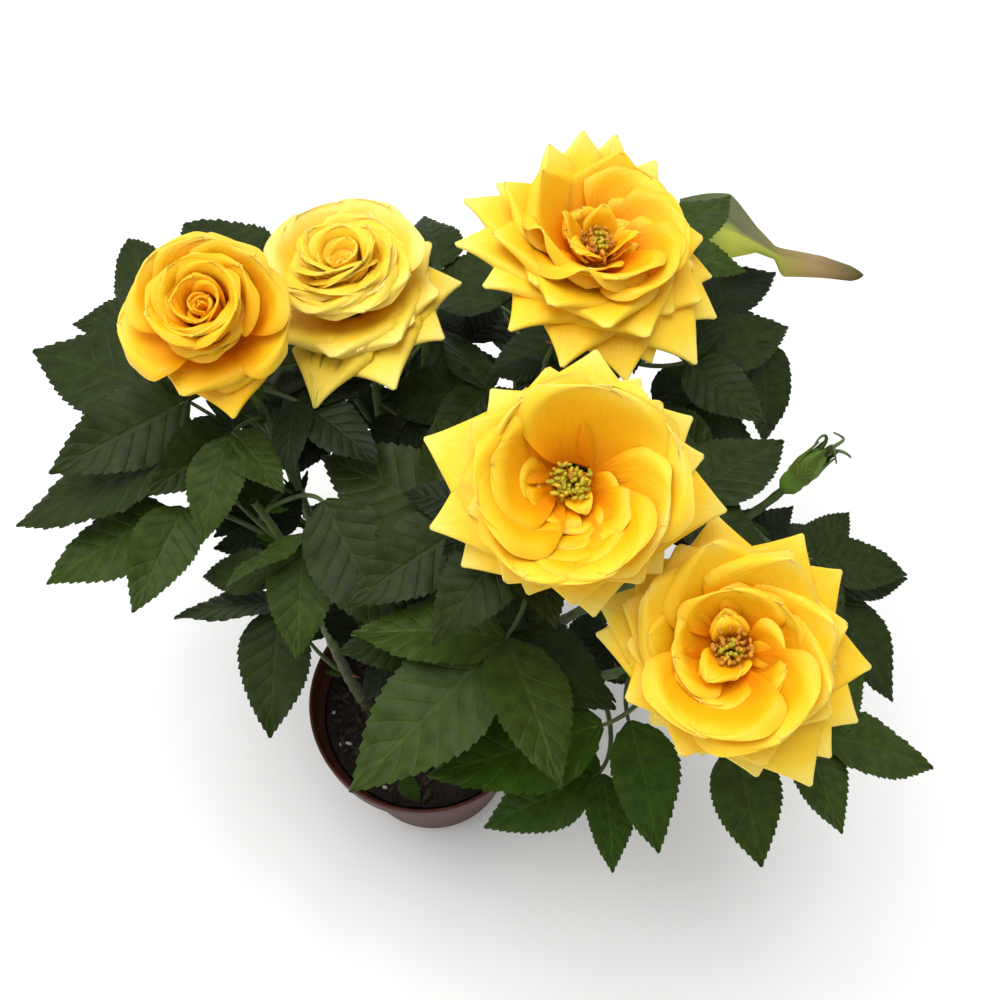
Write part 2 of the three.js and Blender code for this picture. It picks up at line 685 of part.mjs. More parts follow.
/** Grows one compound leaf: the stalk with its end leaflet, then the side leaflets that have room. */
function growLeaf(name, leaf, shown) {
  const path = leafPath(curves[name], leaf);
  let waiting = [stalkSolid(path.stalk)]; // joined on together with the end leaflet
  const grown = [];
  for (const place of leafletPlaces(path, leaf.size, leaf.pairs)) {
    const samples = leafletSamples(place);
    const crowded = tooClose(samples, leafSamples, CLEAR.leaflet) || tooClose(samples, limbSamples, CLEAR.limb);
    const pieces = [...waiting, leafletSolid(place)];
    const fits = (!crowded || (shown && place.end)) && !pieces.some((solid) => blocked(name, solid));
    if (fits && join(name, pieces)) {
      grown.push(...samples);
      waiting = [];
    } else if (place.end) {
      return;
    }
  }
  leafSamples.push(...grown);
}

/** The young leaf with the rolled end. */
function growFurled() {
  const { azimuth, turn, slope, size } = FURLED;
  const path = leafPath(curves[FURLED.shoot], FURLED);
  const [place] = leafletPlaces(path, size, 0);
  const forward = heading(azimuth + turn + FURLED.spindleTurn, slope - FURLED.spindleDrop);
  const start = along(path.end, path.direction, size * FURLED.spindleFrom);
  const end = along(along(path.end, path.direction, size), forward, FURLED.spindle);
  const { side, normal } = sideAndNormal(forward);
  const width = FURLED.spindleWidth / 2;
  const roll = toSolid(reshape(new THREE.SphereGeometry(1, 6, 6), (v) => {
    const middle = start.clone().lerp(end, (1 - v.y) / 2);
    return along(along(middle, side, -v.x * width), normal, v.z * width - FURLED.spindleSag);
  }));
  join(FURLED.shoot, [stalkSolid(path.stalk), leafletSolid(place), roll]);
}

const chance = seeded(FILL.seed);
const fillLeaves = Object.keys(SHOOTS).map((name) => [name, fillRows(SHOOTS[name].fill, chance)]);
for (const [name, rows] of Object.entries(LEAVES)) {
  rows.forEach((row) => growLeaf(name, row, true));
}
growFurled();
for (const [name, rows] of fillLeaves) {
  rows.forEach((row) => growLeaf(name, row, false));
}
for (const [name, solid] of Object.entries(foliage)) {
  addNode(`foliage_${name}`, solid, 'leaf');
}

export default group;
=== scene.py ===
"""Looks of a small potted rose bush: five yellow blooms, a green bud, serrated leaves, a plastic pot.

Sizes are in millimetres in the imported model's own frame: +Z up, +Y to the back of the plant, the
origin at the centre of the pot's flat underside. Meshes are written in metres.
"""

import math

import bpy
import numpy as np
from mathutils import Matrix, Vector, noise


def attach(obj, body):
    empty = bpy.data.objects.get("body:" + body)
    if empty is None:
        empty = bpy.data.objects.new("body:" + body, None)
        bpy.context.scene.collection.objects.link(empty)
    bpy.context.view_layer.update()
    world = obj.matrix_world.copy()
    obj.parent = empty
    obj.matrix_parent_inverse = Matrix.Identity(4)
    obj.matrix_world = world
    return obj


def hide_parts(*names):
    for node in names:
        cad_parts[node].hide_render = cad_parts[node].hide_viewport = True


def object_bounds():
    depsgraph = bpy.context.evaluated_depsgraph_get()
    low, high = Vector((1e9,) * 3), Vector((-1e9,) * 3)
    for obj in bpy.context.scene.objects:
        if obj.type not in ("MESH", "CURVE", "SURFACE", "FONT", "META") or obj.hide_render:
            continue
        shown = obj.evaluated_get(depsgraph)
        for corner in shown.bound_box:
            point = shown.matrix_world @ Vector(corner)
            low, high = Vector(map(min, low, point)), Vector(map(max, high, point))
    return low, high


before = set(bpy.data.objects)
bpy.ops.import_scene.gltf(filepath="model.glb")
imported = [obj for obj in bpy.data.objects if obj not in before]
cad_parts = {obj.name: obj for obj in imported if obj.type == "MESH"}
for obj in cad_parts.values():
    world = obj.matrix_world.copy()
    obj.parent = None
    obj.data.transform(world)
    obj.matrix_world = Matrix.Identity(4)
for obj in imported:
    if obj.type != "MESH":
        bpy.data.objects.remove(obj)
CAD_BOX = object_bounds()

MM = 0.001
UP = np.array([0.0, 0.0, 1.0])

# ---------------------------------------------------------------- the plant's sizes, as in its solids

GAP = 0.3
POT = dict(height=78, rim=45, base=32, wall=1.2, floor=2, collar=11, step=1.6, recess=1.0,
           holes=4, hole_radius=2.5, hole_circle=20)
SOIL_TOP = 66
SIDES_ROUND = dict(pot=128, soil=180)
CANE = dict(foot=2.3, fork=1.7, tip=1.2)
KNOTS = dict(count=9, size=0.16, thorns=9)  # along each shoot
FORK = 0.42
BEND = dict(outward=0.25, rise=0.38, lean=0.3)
LEAF = dict(width=0.55, fold=0.2, droop=0.1, stalk=0.8, pair_place=(0.86, 0.45), pair_angle=(58, 66),
            pair_size=(0.8, 0.62), stalk_rise=10, stalk_bend=0.45, pair_droop=0.12)
CLEAR = dict(leaflet=6.5, limb=3.5, shares=(0.25, 0.45, 0.65, 0.85, 1.0), width=0.8)

# Shoots: foot on the soil, tip, direction in which the tip points, seeded fill leaves.
SHOOTS = {
    "west": dict(foot=(-13, 5), tip=(-53, 53, 230), lean=(-110, 72), fill=3),
    "north_west": dict(foot=(-5, 13), tip=(-14, 73, 210), lean=(-95, 78), fill=3),
    "north_east": dict(foot=(7, 14), tip=(54, 73, 244), lean=(-85, 68), fill=3),
    "centre": dict(foot=(5, 2), tip=(48, -2, 247), lean=(-95, 62), fill=2),
    "south_east": dict(foot=(15, -8), tip=(91, -38, 217), lean=(-110, 66), fill=2),
    "east": dict(foot=(18, 5), tip=(117, 20, 212), lean=(20, 62), fill=2),
    "far_west": dict(foot=(-18, -5), tip=(-48, 22, 195), lean=(150, 62), fill=2),
    "south": dict(foot=(2, -16), tip=(16, -26, 185), lean=(-40, 72), fill=1),
    "back": dict(foot=(-3, 22), tip=(4, 92, 190), lean=(80, 55), fill=7),
    "back_east": dict(foot=(15, 17), tip=(88, 108, 204), lean=(50, 60), fill=4),
}
# Leaves are joined apart by the side of the plant on which their shoot stands.
SIDES = {
    "west": ("west", "far_west", "north_west"),
    "east": ("north_east", "centre", "south_east", "east", "south"),
    "back": ("back", "back_east"),
}

# Compound leaves: share along the shoot; azimuth, reach and rise of the end leaflet's base;
# turn and slope of the end leaflet; its size; pairs of side leaflets; tone.
LEAVES = {
    "west": [
        (0.62, 165, 33, 34, -9, -8, 59, 2, "deep"),
        (0.70, 133, 66, 12, -18, -8, 40, 1, "deep"),
        (0.55, 187, 37, 37, 12, -10, 54, 1, "deep"),
        (0.76, -114, 18, 15, 10, -18, 34, 1, "mid"),
    ],
    "north_west": [
        (0.66, 133, 58, 32, 0, -7, 54, 2, "deep"),
        (0.80, 70, 60, -4, 32, -14, 38, 1, "deep"),
    ],
    "north_east": [
        (0.68, 120, 28, 6, 35, -12, 36, 0, "deep"),
        (0.74, 124, 31, -10, -20, -8, 40, 1, "deep"),
        (0.60, 172, 16, 9, 5, -12, 40, 1, "deep"),
    ],
    "centre": [
        (0.58, -104, 43, 20, -34, -10, 57, 1, "mid"),
        (0.70, 185, 27, 7, -37, -6, 53, 1, "deep"),
        (0.62, -146, 20, 10, -33, -12, 38, 0, "deep"),
        (0.84, 3, 37, -4, 36, -9, 42, 1, "deep"),
    ],
    "south_east": [
        (0.68, -133, 28, 3, -34, -8, 55, 0, "fresh"),
        (0.60, -99, 20, 8, 25, -22, 41, 0, "fresh"),
        (0.72, -51, 29, -10, -26, -22, 38, 1, "mid"),
        (0.80, -28, 42, -12, 18, -16, 38, 1, "mid"),
        (0.50, -95, 33, -4, -65, -11, 38, 1, "fresh"),
    ],
    "east": [
        (0.72, -22, 48, 3, -36, -18, 36, 2, "deep"),
        (0.86, -32, 24, -3, 30, -8, 32, 1, "deep"),
    ],
    "far_west": [
        (0.80, 170, 36, 17, 36, -13, 46, 1, "mid"),
        (0.66, -127, 8, 24, -60, -11, 28, 0, "deep"),
        (0.78, -26, 8, 22, -66, -20, 38, 1, "mid"),
        (0.95, -6, 21, 12, -55, -12, 49, 1, "deep"),
        (0.56, -140, 12, 24, 46, -22, 42, 1, "deep"),
    ],
    "south": [
        (0.90, 23, 17, 11, -55, -12, 42, 1, "deep"),
        (0.78, 100, 10, 12, 50, -8, 40, 1, "deep"),
    ],
    "back": [],
    "back_east": [
        (0.78, -40, 26, 24, 70, -10, 42, 1, "deep"),
        (0.90, -26, 39, 4, -54, -45, 36, 0, "deep"),
        (0.64, -10, 24, 16, -20, -8, 44, 1, "deep"),
    ],
}
# The furled young leaf: its place among the leaves, the line of its fold, and how far the blade
# stands out above and below that line.
FURLED = dict(shoot="back_east", leaf=(0.97, 63, 26, -2, -92, 0, 28, 0, "deep"),
              line=[(92, 134, 199), (109, 128.5, 201), (118, 121.5, 200.5), (124, 117, 200), (126, 116, 200),
                    (140, 113, 199), (154, 109, 198)],
              above=(11, 14, 6.5, 3.2, 3.2, 3.6, 2.2), below=(12, 11, 3.5, 2, 7, 4.5, 2.4))
FILL = dict(seed=660, first=0.48, last=0.95, turn=144, jitter=20, reach=(20, 34), rise=(4, 14),
            bend=18, slope=(-16, -4), size=(36, 47), two_pairs=0.25)
# A second, finer sowing of smaller leaves between the first ones. They take the shade tone: a darker leaf
# colour, painted shade for the inside of the bush.
UNDERGROWTH = dict(seed=5, count=7, first=0.24, last=0.9, turn=137.5, jitter=30, reach=(12, 26),
                   rise=(0, 10), bend=30, slope=(-20, 0), size=(24, 36), two_pairs=0.5)
UNDERGROWTH_CLEAR = 4.0
OPEN_FRONT = 18  # in front of this the plant is open down to the potting mix

# ---------------------------------------------------------------- directions, curves and chance


def vec(x, y, z):
    return np.array([x, y, z], float)


def unit(v):
    return v / np.linalg.norm(v)


def heading(azimuth, slope=0.0):
    """Unit vector at an azimuth from +X towards +Y and a slope above the level, in degrees."""
    a, s = math.radians(azimuth), math.radians(slope)
    return vec(math.cos(s) * math.cos(a), math.cos(s) * math.sin(a), math.sin(s))


def side_and_normal(direction, above=UP):
    """Side and upper normal of a direction, with side x direction = normal."""
    side = unit(np.cross(direction, above))
    return side, np.cross(side, direction)


def bezier(controls, t):
    """Points of a quadratic or cubic Bezier curve at an array of shares."""
    points = [np.asarray(c, float) + np.zeros((len(t), 1)) for c in controls]
    t = np.asarray(t, float)[:, None]
    while len(points) > 1:
        points = [a * (1 - t) + b * t for a, b in zip(points, points[1:])]
    return points[0]


def bezier_at(controls, share):
    """Point and unit tangent of a Bezier curve at one share."""
    step = 1e-4
    a, b, c = bezier(controls, [max(share - step, 0), share, min(share + step, 1)])
    return b, unit(c - a)


def seeded(seed):
    """Seeded chance between 0 and 1 (mulberry32), the same as in the solids."""
    mask = 0xFFFFFFFF
    state = seed & mask

    def chance():
        nonlocal state
        state = (state + 0x6D2B79F5) & mask
        mixed = ((state ^ (state >> 15)) * (1 | state)) & mask
        mixed = (mixed + (((mixed ^ (mixed >> 7)) * (61 | mixed)) & mask)) & mask ^ mixed
        return (mixed ^ (mixed >> 14)) / 4294967296

    return chance


def rings(centres, first, second, sides):
    """Closed rings of points, each an ellipse about its centre from its two half axes."""
    angle = np.linspace(0, 2 * math.pi, sides, endpoint=False)[:, None]
    return centres[:, None] + np.cos(angle) * first[:, None] + np.sin(angle) * second[:, None]


def between(chance, limits):
    return limits[0] + (limits[1] - limits[0]) * chance()


def smooth(x, low, high):
    """Smooth step from 0 at low to 1 at high."""
    t = np.clip((np.asarray(x, float) - low) / (high - low), 0, 1)
    return t * t * (3 - 2 * t)


# ---------------------------------------------------------------- gathering meshes


class Shape:
    """Points, quads and UVs gathered for one joined mesh."""

    def __init__(self):
        self.points, self.quads, self.uvs, self.margins, self.count = [], [], [], [], 0

    def grid(self, points, uv=None, wrap=False, margins=()):
        """Adds rows x columns of points; uv has one more column than a wrapped grid's points.

        margins: the columns along which the mesh has a sharp edge.
        """
        rows, columns = points.shape[:2]
        uv = tile_uv(rows, columns + wrap) if uv is None else uv
        sharp = np.zeros((rows, columns), np.int8)
        for number, column in enumerate(margins, 1):
            sharp[:, column] = number
        self.margins.append(sharp.ravel())
        row = np.arange(rows - 1)[:, None]
        col = np.arange(columns if wrap else columns - 1)[None, :]
        after = (col + 1) % columns
        corners = [row * columns + col, row * columns + after,
                   (row + 1) * columns + after, (row + 1) * columns + col]
        self.quads.append(np.stack(corners, -1).reshape(-1, 4) + self.count)
        places = [uv[row, col], uv[row, col + 1], uv[row + 1, col + 1], uv[row + 1, col]]
        self.uvs.append(np.stack(places, -2).reshape(-1, 4, 2))
        self.points.append(points.reshape(-1, 3))
        self.count += rows * columns

    def join(self, other):
        """Takes over everything that another shape gathered."""
        self.quads.extend(quads + self.count for quads in other.quads)
        self.points.extend(other.points)
        self.uvs.extend(other.uvs)
        self.margins.extend(other.margins)
        self.count += other.count

    def build(self, name, look, slot=None, nodes=()):
        """One object from everything gathered, which rides on the plant."""
        mesh = bpy.data.meshes.new(name)
        mesh.from_pydata(np.concatenate(self.points) * MM, [], np.concatenate(self.quads))
        mesh.shade_smooth()
        layer = mesh.uv_layers.new(name="OFBake")
        layer.data.foreach_set("uv", np.concatenate(self.uvs).ravel())
        ends = np.empty(len(mesh.edges) * 2, np.int32)
        mesh.edges.foreach_get("vertices", ends)
        first, second = np.concatenate(self.margins)[ends.reshape(-1, 2)].T
        sharp = mesh.attributes.new("sharp_edge", "BOOLEAN", "EDGE")
        sharp.data.foreach_set("value", (first == second) & (first > 0))
        mesh.materials.append(look)
        piece = bpy.data.objects.new(name, mesh)
        bpy.context.scene.collection.objects.link(piece)
        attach(piece, "root")
        if nodes:
            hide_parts(*nodes)
        return piece


def add_tube(shape, centres, radii, sides, v_range=(0, 1)):
    """Rings of points round a line of centres, carried along without twisting."""
    tangents = np.gradient(centres, axis=0)
    tangents /= np.linalg.norm(tangents, axis=1)[:, None]
    across = np.cross(tangents[0], UP if abs(tangents[0][2]) < 0.9 else vec(1, 0, 0))
    first = []
    for tangent, radius in zip(tangents, radii):
        across = unit(across - tangent * np.dot(across, tangent))
        first.append(radius * across)
    points = rings(centres, np.array(first), np.cross(tangents, first), sides)
    shape.grid(points, tile_uv(len(centres), sides + 1, v_range), wrap=True)


def add_limb(shape, controls, steps, radii, sides):
    """A tube along a Bezier curve, from one radius to another."""
    add_tube(shape, bezier(controls, np.linspace(0, 1, steps)), np.linspace(*radii, steps), sides)


def tile_uv(rows, columns, v_range=(0, 1)):
    """UV grid of a stretch of the tile: u along the rows, v across the columns."""
    return np.stack(np.meshgrid(np.linspace(0, 1, rows), np.linspace(*v_range, columns), indexing="ij"), -1)


def sheet_normals(middle):
    """Unit normals of a grid of points."""
    normals = np.cross(np.gradient(middle, axis=0), np.gradient(middle, axis=1))
    return normals / (np.linalg.norm(normals, axis=-1)[..., None] + 1e-9)


def add_thin(shape, middle, normal, half_thickness, u, columns, tile=(0, 1)):
    """A thin closed sheet: rows of points with normals, thinning to nothing at both margins.

    The upper side's columns run from one margin to the other, and the lower side's run back. The
    upper side takes the first half of the strip of the tile, the lower side the second half.
    """
    upper = middle + normal * half_thickness[..., None]
    lower = (middle - normal * half_thickness[..., None])[:, -2:0:-1]
    half_strip = (tile[1] - tile[0]) / 2
    v_up = tile[0] + half_strip * (columns + 1) / 2
    v_low = tile[0] + half_strip + half_strip * (columns + 1) / 2
    v_ring = np.concatenate([v_up, v_low[::-1][1:]])
    edge = len(columns) - 1
    ring_uv = np.stack(np.meshgrid(u, v_ring, indexing="ij"), -1)
    shape.grid(np.concatenate([upper, lower], 1), ring_uv, wrap=True, margins=(0, edge))
    # The lower side starts at the far margin with its own place in the tile.
    quads_uv = shape.uvs[-1].reshape(len(u) - 1, -1, 4, 2)
    quads_uv[:, edge, (0, 3), 1] = v_low[-1]
    # Both sides are cut along the same diagonals, so neither comes through the other.
    quads = shape.quads[-1].reshape(len(u) - 1, -1, 4)
    quads[:, edge:] = np.roll(quads[:, edge:], -1, axis=2)
    quads_uv[:, edge:] = np.roll(quads_uv[:, edge:], -1, axis=2)


# ---------------------------------------------------------------- materials


def srgb(red, green, blue, strength=1.0):
    """Linear colour with full alpha from an ordinary 0-255 colour."""
    linear = [((c / 255 + 0.055) / 1.055) ** 2.4 if c > 10 else c / 255 / 12.92 for c in (red, green, blue)]
    return (*(c * strength for c in linear), 1.0)


class Value:
    """A socket of a material's node tree, with which sums are written as with a number."""

    def __init__(self, look, socket):
        self.look, self.socket = look, socket

    def __add__(self, other):
        return self.look.math("ADD", self, other)

    def __sub__(self, other):
        return self.look.math("SUBTRACT", self, other)

    def __rsub__(self, other):
        return self.look.math("SUBTRACT", other, self)

    def __mul__(self, other):
        return self.look.math("MULTIPLY", self, other)

    def __pow__(self, other):
        return self.look.math("POWER", self, other)

    def __abs__(self):
        return self.look.math("ABSOLUTE", self)


class Look:
    """The node tree of one material, with short calls for what it is built from.

    Colours are ordinary 0-255 ones, or linear ones with their alpha.
    """

    def __init__(self, name, **sockets):
        self.material = bpy.data.materials.new(name)
        self.material.use_nodes = True
        self.tree = self.material.node_tree
        self.surface = self.tree.nodes["Principled BSDF"]
        for socket, value in sockets.items():
            self.surface.inputs[socket.replace("_", " ")].default_value = value

    def node(self, kind, output, feeds, **settings):
        """A new node with its settings, what feeds its inputs, and one of its outputs."""
        node = self.tree.nodes.new("ShaderNode" + kind)
        for setting, value in settings.items():
            setattr(node, setting, value)
        for key, value in feeds.items():
            if isinstance(value, Value):
                self.tree.links.new(value.socket, node.inputs[key])
            elif isinstance(value, tuple) and len(value) == 3 and node.inputs[key].type == "RGBA":
                node.inputs[key].default_value = srgb(*value)
            else:
                node.inputs[key].default_value = value
        return Value(self, node.outputs[output])

    def math(self, operation, *values):
        return self.node("Math", 0, dict(enumerate(values)), operation=operation)

    def mix(self, factor, first, second):
        return self.node("Mix", 2, {0: factor, 6: first, 7: second}, data_type="RGBA")

    def ramp(self, value, *stops):
        ramp = self.node("ValToRGB", 0, {0: value})
        elements = ramp.socket.node.color_ramp.elements
        while len(elements) < len(stops):
            elements.new(0.5)
        for element, (position, colour) in zip(elements, stops):
            element.position = position
            element.color = srgb(*colour) if isinstance(colour, tuple) else (colour, colour, colour, 1)
        return ramp

    def uv(self, scale=(1, 1)):
        """The tile's vector, stretched, and its two directions."""
        tile = self.node("UVMap", 0, {}, uv_map="OFBake")
        vector = self.node("Mapping", 0, {"Vector": tile, "Scale": (*scale, 1)})
        return vector, *(self.node("SeparateXYZ", axis, {0: vector}) for axis in (0, 1))

    def split(self, strip):
        """How far a place in a strip of the tile lies from the strip's middle, 0 to 1."""
        return abs(self.math("FRACT", strip) * 2.0 - 1.0)

    def noise(self, vector, scale, detail=3.0, roughness=0.5):
        feeds = {"Vector": vector, "Scale": scale, "Detail": detail, "Roughness": roughness}
        return self.node("TexNoise", 0, feeds)

    def bump(self, height, distance, strength=1.0):
        bump = self.node("Bump", 0, {"Distance": distance, "Strength": strength, "Height": height})
        self.tree.links.new(bump.socket, self.surface.inputs["Normal"])

    def paint(self, colour, roughness=None):
        self.tree.links.new(colour.socket, self.surface.inputs["Base Color"])
        if roughness is not None:
            self.tree.links.new(roughness.socket, self.surface.inputs["Roughness"])
        return self.material


VEINS = 8  # pairs of side veins in a leaflet
VEIN_SLANT, VEIN_BOW = 1.7, 0.85  # how far a vein runs forward, in gaps between veins, and its bend


def leaf_look(name, upper, vein, under):
    """A leaflet: side veins run from the midrib forward to the margin; the back is paler."""
    look = Look(name, Roughness=0.5, Specular_IOR_Level=0.16)
    vector, along, tile = look.uv()
    across = look.split(tile * 2.0)
    phase = look.math("FRACT", along * float(VEINS) - across ** VEIN_BOW * VEIN_SLANT)
    side_vein = look.ramp(look.split(phase), (0.80, 0.0), (0.97, 0.8))
    side_vein = side_vein * look.ramp(across, (0.7, 1.0), (1.0, 0.15))
    veins = look.math("MAXIMUM", side_vein, look.ramp(across, (0.02, 1.0), (0.09, 0.0)))
    mottle, grain = look.noise(vector, 9.0, 4.0), look.noise(vector, 70.0, 2.0)
    shade = look.mix(look.ramp(mottle, (0.3, 0.0), (0.7, 1.0)), srgb(*upper, 0.66), srgb(*upper, 1.28))
    front, back = look.mix(veins * 0.2, shade, vein), look.mix(veins * 0.6, under, vein)
    pucker = look.math("SINE", phase * math.pi) * 0.5
    look.bump(pucker - veins * 0.7 + grain * 0.35, 0.0004, 0.7)
    return look.paint(look.mix(look.math("GREATER_THAN", tile, 0.5), front, back), grain * 0.2 + 0.38)


PETAL_STRIPS = 6  # three depths in the bloom, each with an inner and an outer face


def petal_look(name, pale, yellow, gold, orange, depth=0.0):
    """Petals: orange-gold at the root and in the inner rings, partly painted shade and glow of the deep cup;
    yellow in the blade; pale lemon along the rolled margin and tip, partly painted highlight.
    """
    look = Look(name, Roughness=0.5, Subsurface_Weight=0.25, Subsurface_Scale=0.002,
                Subsurface_Radius=(1.0, 0.75, 0.1), Specular_IOR_Level=0.3)
    _, along, tile = look.uv()
    strip = tile * float(PETAL_STRIPS)
    level = look.math("FLOOR", strip)
    inner_face = look.math("LESS_THAN", look.math("MODULO", level, 2.0), 0.5)
    ring = look.math("FLOOR", look.math("DIVIDE", level, 2.0))
    rim = look.split(strip) ** 3.0 * look.ramp(along, (0.15, 0.0), (0.7, 1.0))
    streaks = look.noise(look.uv((3.0, 160.0))[0], 1.0, 3.0)
    clouds = look.noise(look.uv((3.0, 14.0))[0], 1.0, 2.0)
    # Deeper gold and orange towards the root and in the inner rings: partly the petals' own colour, partly
    # painted shade and glow of the deep cup.
    value = (1.0 - along) ** 1.4 * 0.66 + (0.12 + depth) + ring * 0.14 + inner_face * 0.1
    # Paler along the rolled margins and at the tips: partly the petals' own colour, partly a painted
    # highlight.
    value = value - look.math("MAXIMUM", rim, along ** 7.0) * 0.26
    value = value + (streaks - 0.5) * 0.14 + (clouds - 0.5) * 0.2
    look.bump(streaks + clouds * 0.6, 0.0004, 0.45)
    return look.paint(look.ramp(value, (0.0, pale), (0.28, yellow), (0.58, gold), (0.92, orange)),
                      streaks * 0.15 + 0.42)


def plain_look(name, low, high, scale, bump=0.0003, rough=(0.5, 0.75), **sockets):
    """Mottled surface in the piece's own coordinates: bark, plastic, mix, bud and stalk."""
    look = Look(name, **sockets)
    spot = look.node("TexCoord", "Object", {})
    coarse, fine = look.noise(spot, scale, 5.0), look.noise(spot, scale * 9, 3.0)
    look.bump(coarse + fine * 0.4, bump, 0.7)
    return look.paint(look.ramp(coarse, (0.32, low), (0.68, high)),
                      look.ramp(fine, (0.3, rough[0]), (0.7, rough[1])))


def furled_look(name):
    """The furled leaf: grey-green above its fold, lime below it, and tan towards its end."""
    look = Look(name, Roughness=0.6, Specular_IOR_Level=0.2)
    _, along, tile = look.uv()
    clouds = look.noise(look.uv((3.0, 6.0))[0], 1.6, 3.0)
    across = look.math("FRACT", tile * 2.0) + (clouds - 0.5) * 0.25
    above = look.ramp(along, (0.0, (74, 86, 52)), (0.3, (104, 104, 72)), (0.62, (128, 122, 66)),
                      (0.8, (152, 128, 88)), (1.0, (70, 70, 34)))
    below = look.ramp(along, (0.0, (84, 96, 44)), (0.18, (164, 172, 62)), (0.4, (146, 152, 58)),
                      (0.6, (140, 144, 48)), (0.8, (150, 124, 80)), (1.0, (66, 64, 30)))
    look.bump(clouds, 0.0004, 0.6)
    return look.paint(look.mix(look.ramp(across, (0.4, 0.0), (0.58, 1.0)), below, above))


def guard_look(name):
    """An outermost petal: yellow with green streaks along its middle."""
    look = Look(name, Roughness=0.55, Specular_IOR_Level=0.25)
    _, along, tile = look.uv()
    middle = look.ramp(look.split(tile * float(PETAL_STRIPS)), (0.25, 1.0), (0.6, 0.0))
    streaks = look.noise(look.uv((2.5, 60.0))[0], 1.4, 3.0, 0.6)
    green = look.ramp(streaks, (0.5, 0.0), (0.62, 1.0)) * middle
    yellow = look.ramp(along, (0.1, (206, 178, 40)), (0.6, (236, 204, 62)), (1.0, (240, 216, 96)))
    look.bump(streaks, 0.0004, 0.6)
    return look.paint(look.mix(green * 0.8, yellow, (84, 104, 28)))


LEAF_TONES = {
    "deep": leaf_look("leaf_deep", (35, 48, 9), (60, 76, 22), (76, 92, 46)),
    "mid": leaf_look("leaf_mid", (48, 66, 14), (78, 96, 30), (86, 102, 52)),
    "fresh": leaf_look("leaf_fresh", (44, 70, 4), (76, 100, 20), (82, 102, 40)),
    # shade: painted shade, the leaf colour darkened for the undergrowth deep inside the bush
    "shade": leaf_look("leaf_painted_shade", (22, 33, 5), (40, 54, 14), (50, 64, 26)),
}
PETAL_LOOKS = {
    "plain": petal_look("petal", (252, 226, 110), (252, 206, 44), (250, 184, 8), (242, 146, 3)),
    "pale": petal_look("petal_pale", (252, 228, 118), (252, 211, 56), (251, 190, 14), (246, 156, 6), -0.05),
    "deep": petal_look("petal_deep", (252, 218, 84), (251, 196, 26), (248, 168, 6), (238, 130, 2), 0.1),
}
CANE_LOOK = plain_look("cane_bark", (44, 50, 20), (78, 82, 38), 180, 0.0006)
STEM_LOOK = plain_look("green_stem", (48, 70, 20), (78, 100, 36), 160)
STALK_LOOK = plain_look("leaf_stalk", (50, 68, 22), (80, 96, 40), 200)
THORN_LOOK = plain_look("prickle", (96, 48, 34), (140, 84, 56), 300)
POT_LOOK = plain_look("pot_plastic", (68, 31, 20), (77, 37, 25), 90, 0.00015, (0.5, 0.65),
                      Specular_IOR_Level=0.25)
SOIL_LOOK = plain_look("potting_mix", (20, 15, 11), (44, 34, 26), 260, 0.002, (0.85, 1.0))
GRAIN_LOOK = plain_look("bark_bits", (34, 24, 16), (74, 54, 36), 300, 0.0005, (0.8, 1.0))
SPECK_LOOK = plain_look("pale_specks", (186, 180, 164), (220, 216, 204), 400, 0.0003, (0.8, 0.95))
STAMEN_LOOK = plain_look("stamens", (214, 140, 20), (244, 190, 50), 500)
ANTHER_LOOK = plain_look("anthers", (176, 110, 20), (222, 160, 40), 900)
STIGMA_LOOK = plain_look("stigmas", (150, 150, 24), (214, 190, 40), 700)
SEPAL_LOOK = leaf_look("sepal", (52, 80, 14), (76, 104, 28), (88, 108, 44))
BUD_LOOK = plain_look("bud_skin", (52, 88, 10), (96, 132, 22), 120)
FLOOR_LOOK = plain_look("floor_paint", (246, 246, 244), (250, 250, 249), 3, 0.0)
FURLED_LOOK = furled_look("furled_leaf")
GUARD_LOOK = guard_look("guard_petal")

# ---------------------------------------------------------------- pot and potting mix


def wall_radius(height):
    return POT["base"] + (POT["rim"] - POT["step"] - POT["base"]) * height / POT["height"]


def add_lathe(shape, profile, sides):
    """Surface of revolution about +Z, with the outside to the right of the profile's way up."""
    radii, heights = np.array(profile, float).T[..., None]
    shape.grid(rings(heights * UP, radii * vec(1, 0, 0), radii * vec(0, 1, 0), sides), wrap=True)


def rounded(profile, radius, steps=4):
    """A profile with each inner corner replaced by a small curve."""
    points = [np.array(p, float) for p in profile]
    out = [points[0]]
    for before, corner, after in zip(points, points[1:], points[2:]):
        reach = min(radius, 0.45 * np.linalg.norm(before - corner), 0.45 * np.linalg.norm(after - corner))
        start = corner + unit(before - corner) * reach
        end = corner + unit(after - corner) * reach
        for t in np.linspace(0, 1, steps):
            out.append((1 - t) ** 2 * start + 2 * t * (1 - t) * corner + t * t * end)
    out.append(points[-1])
    return out


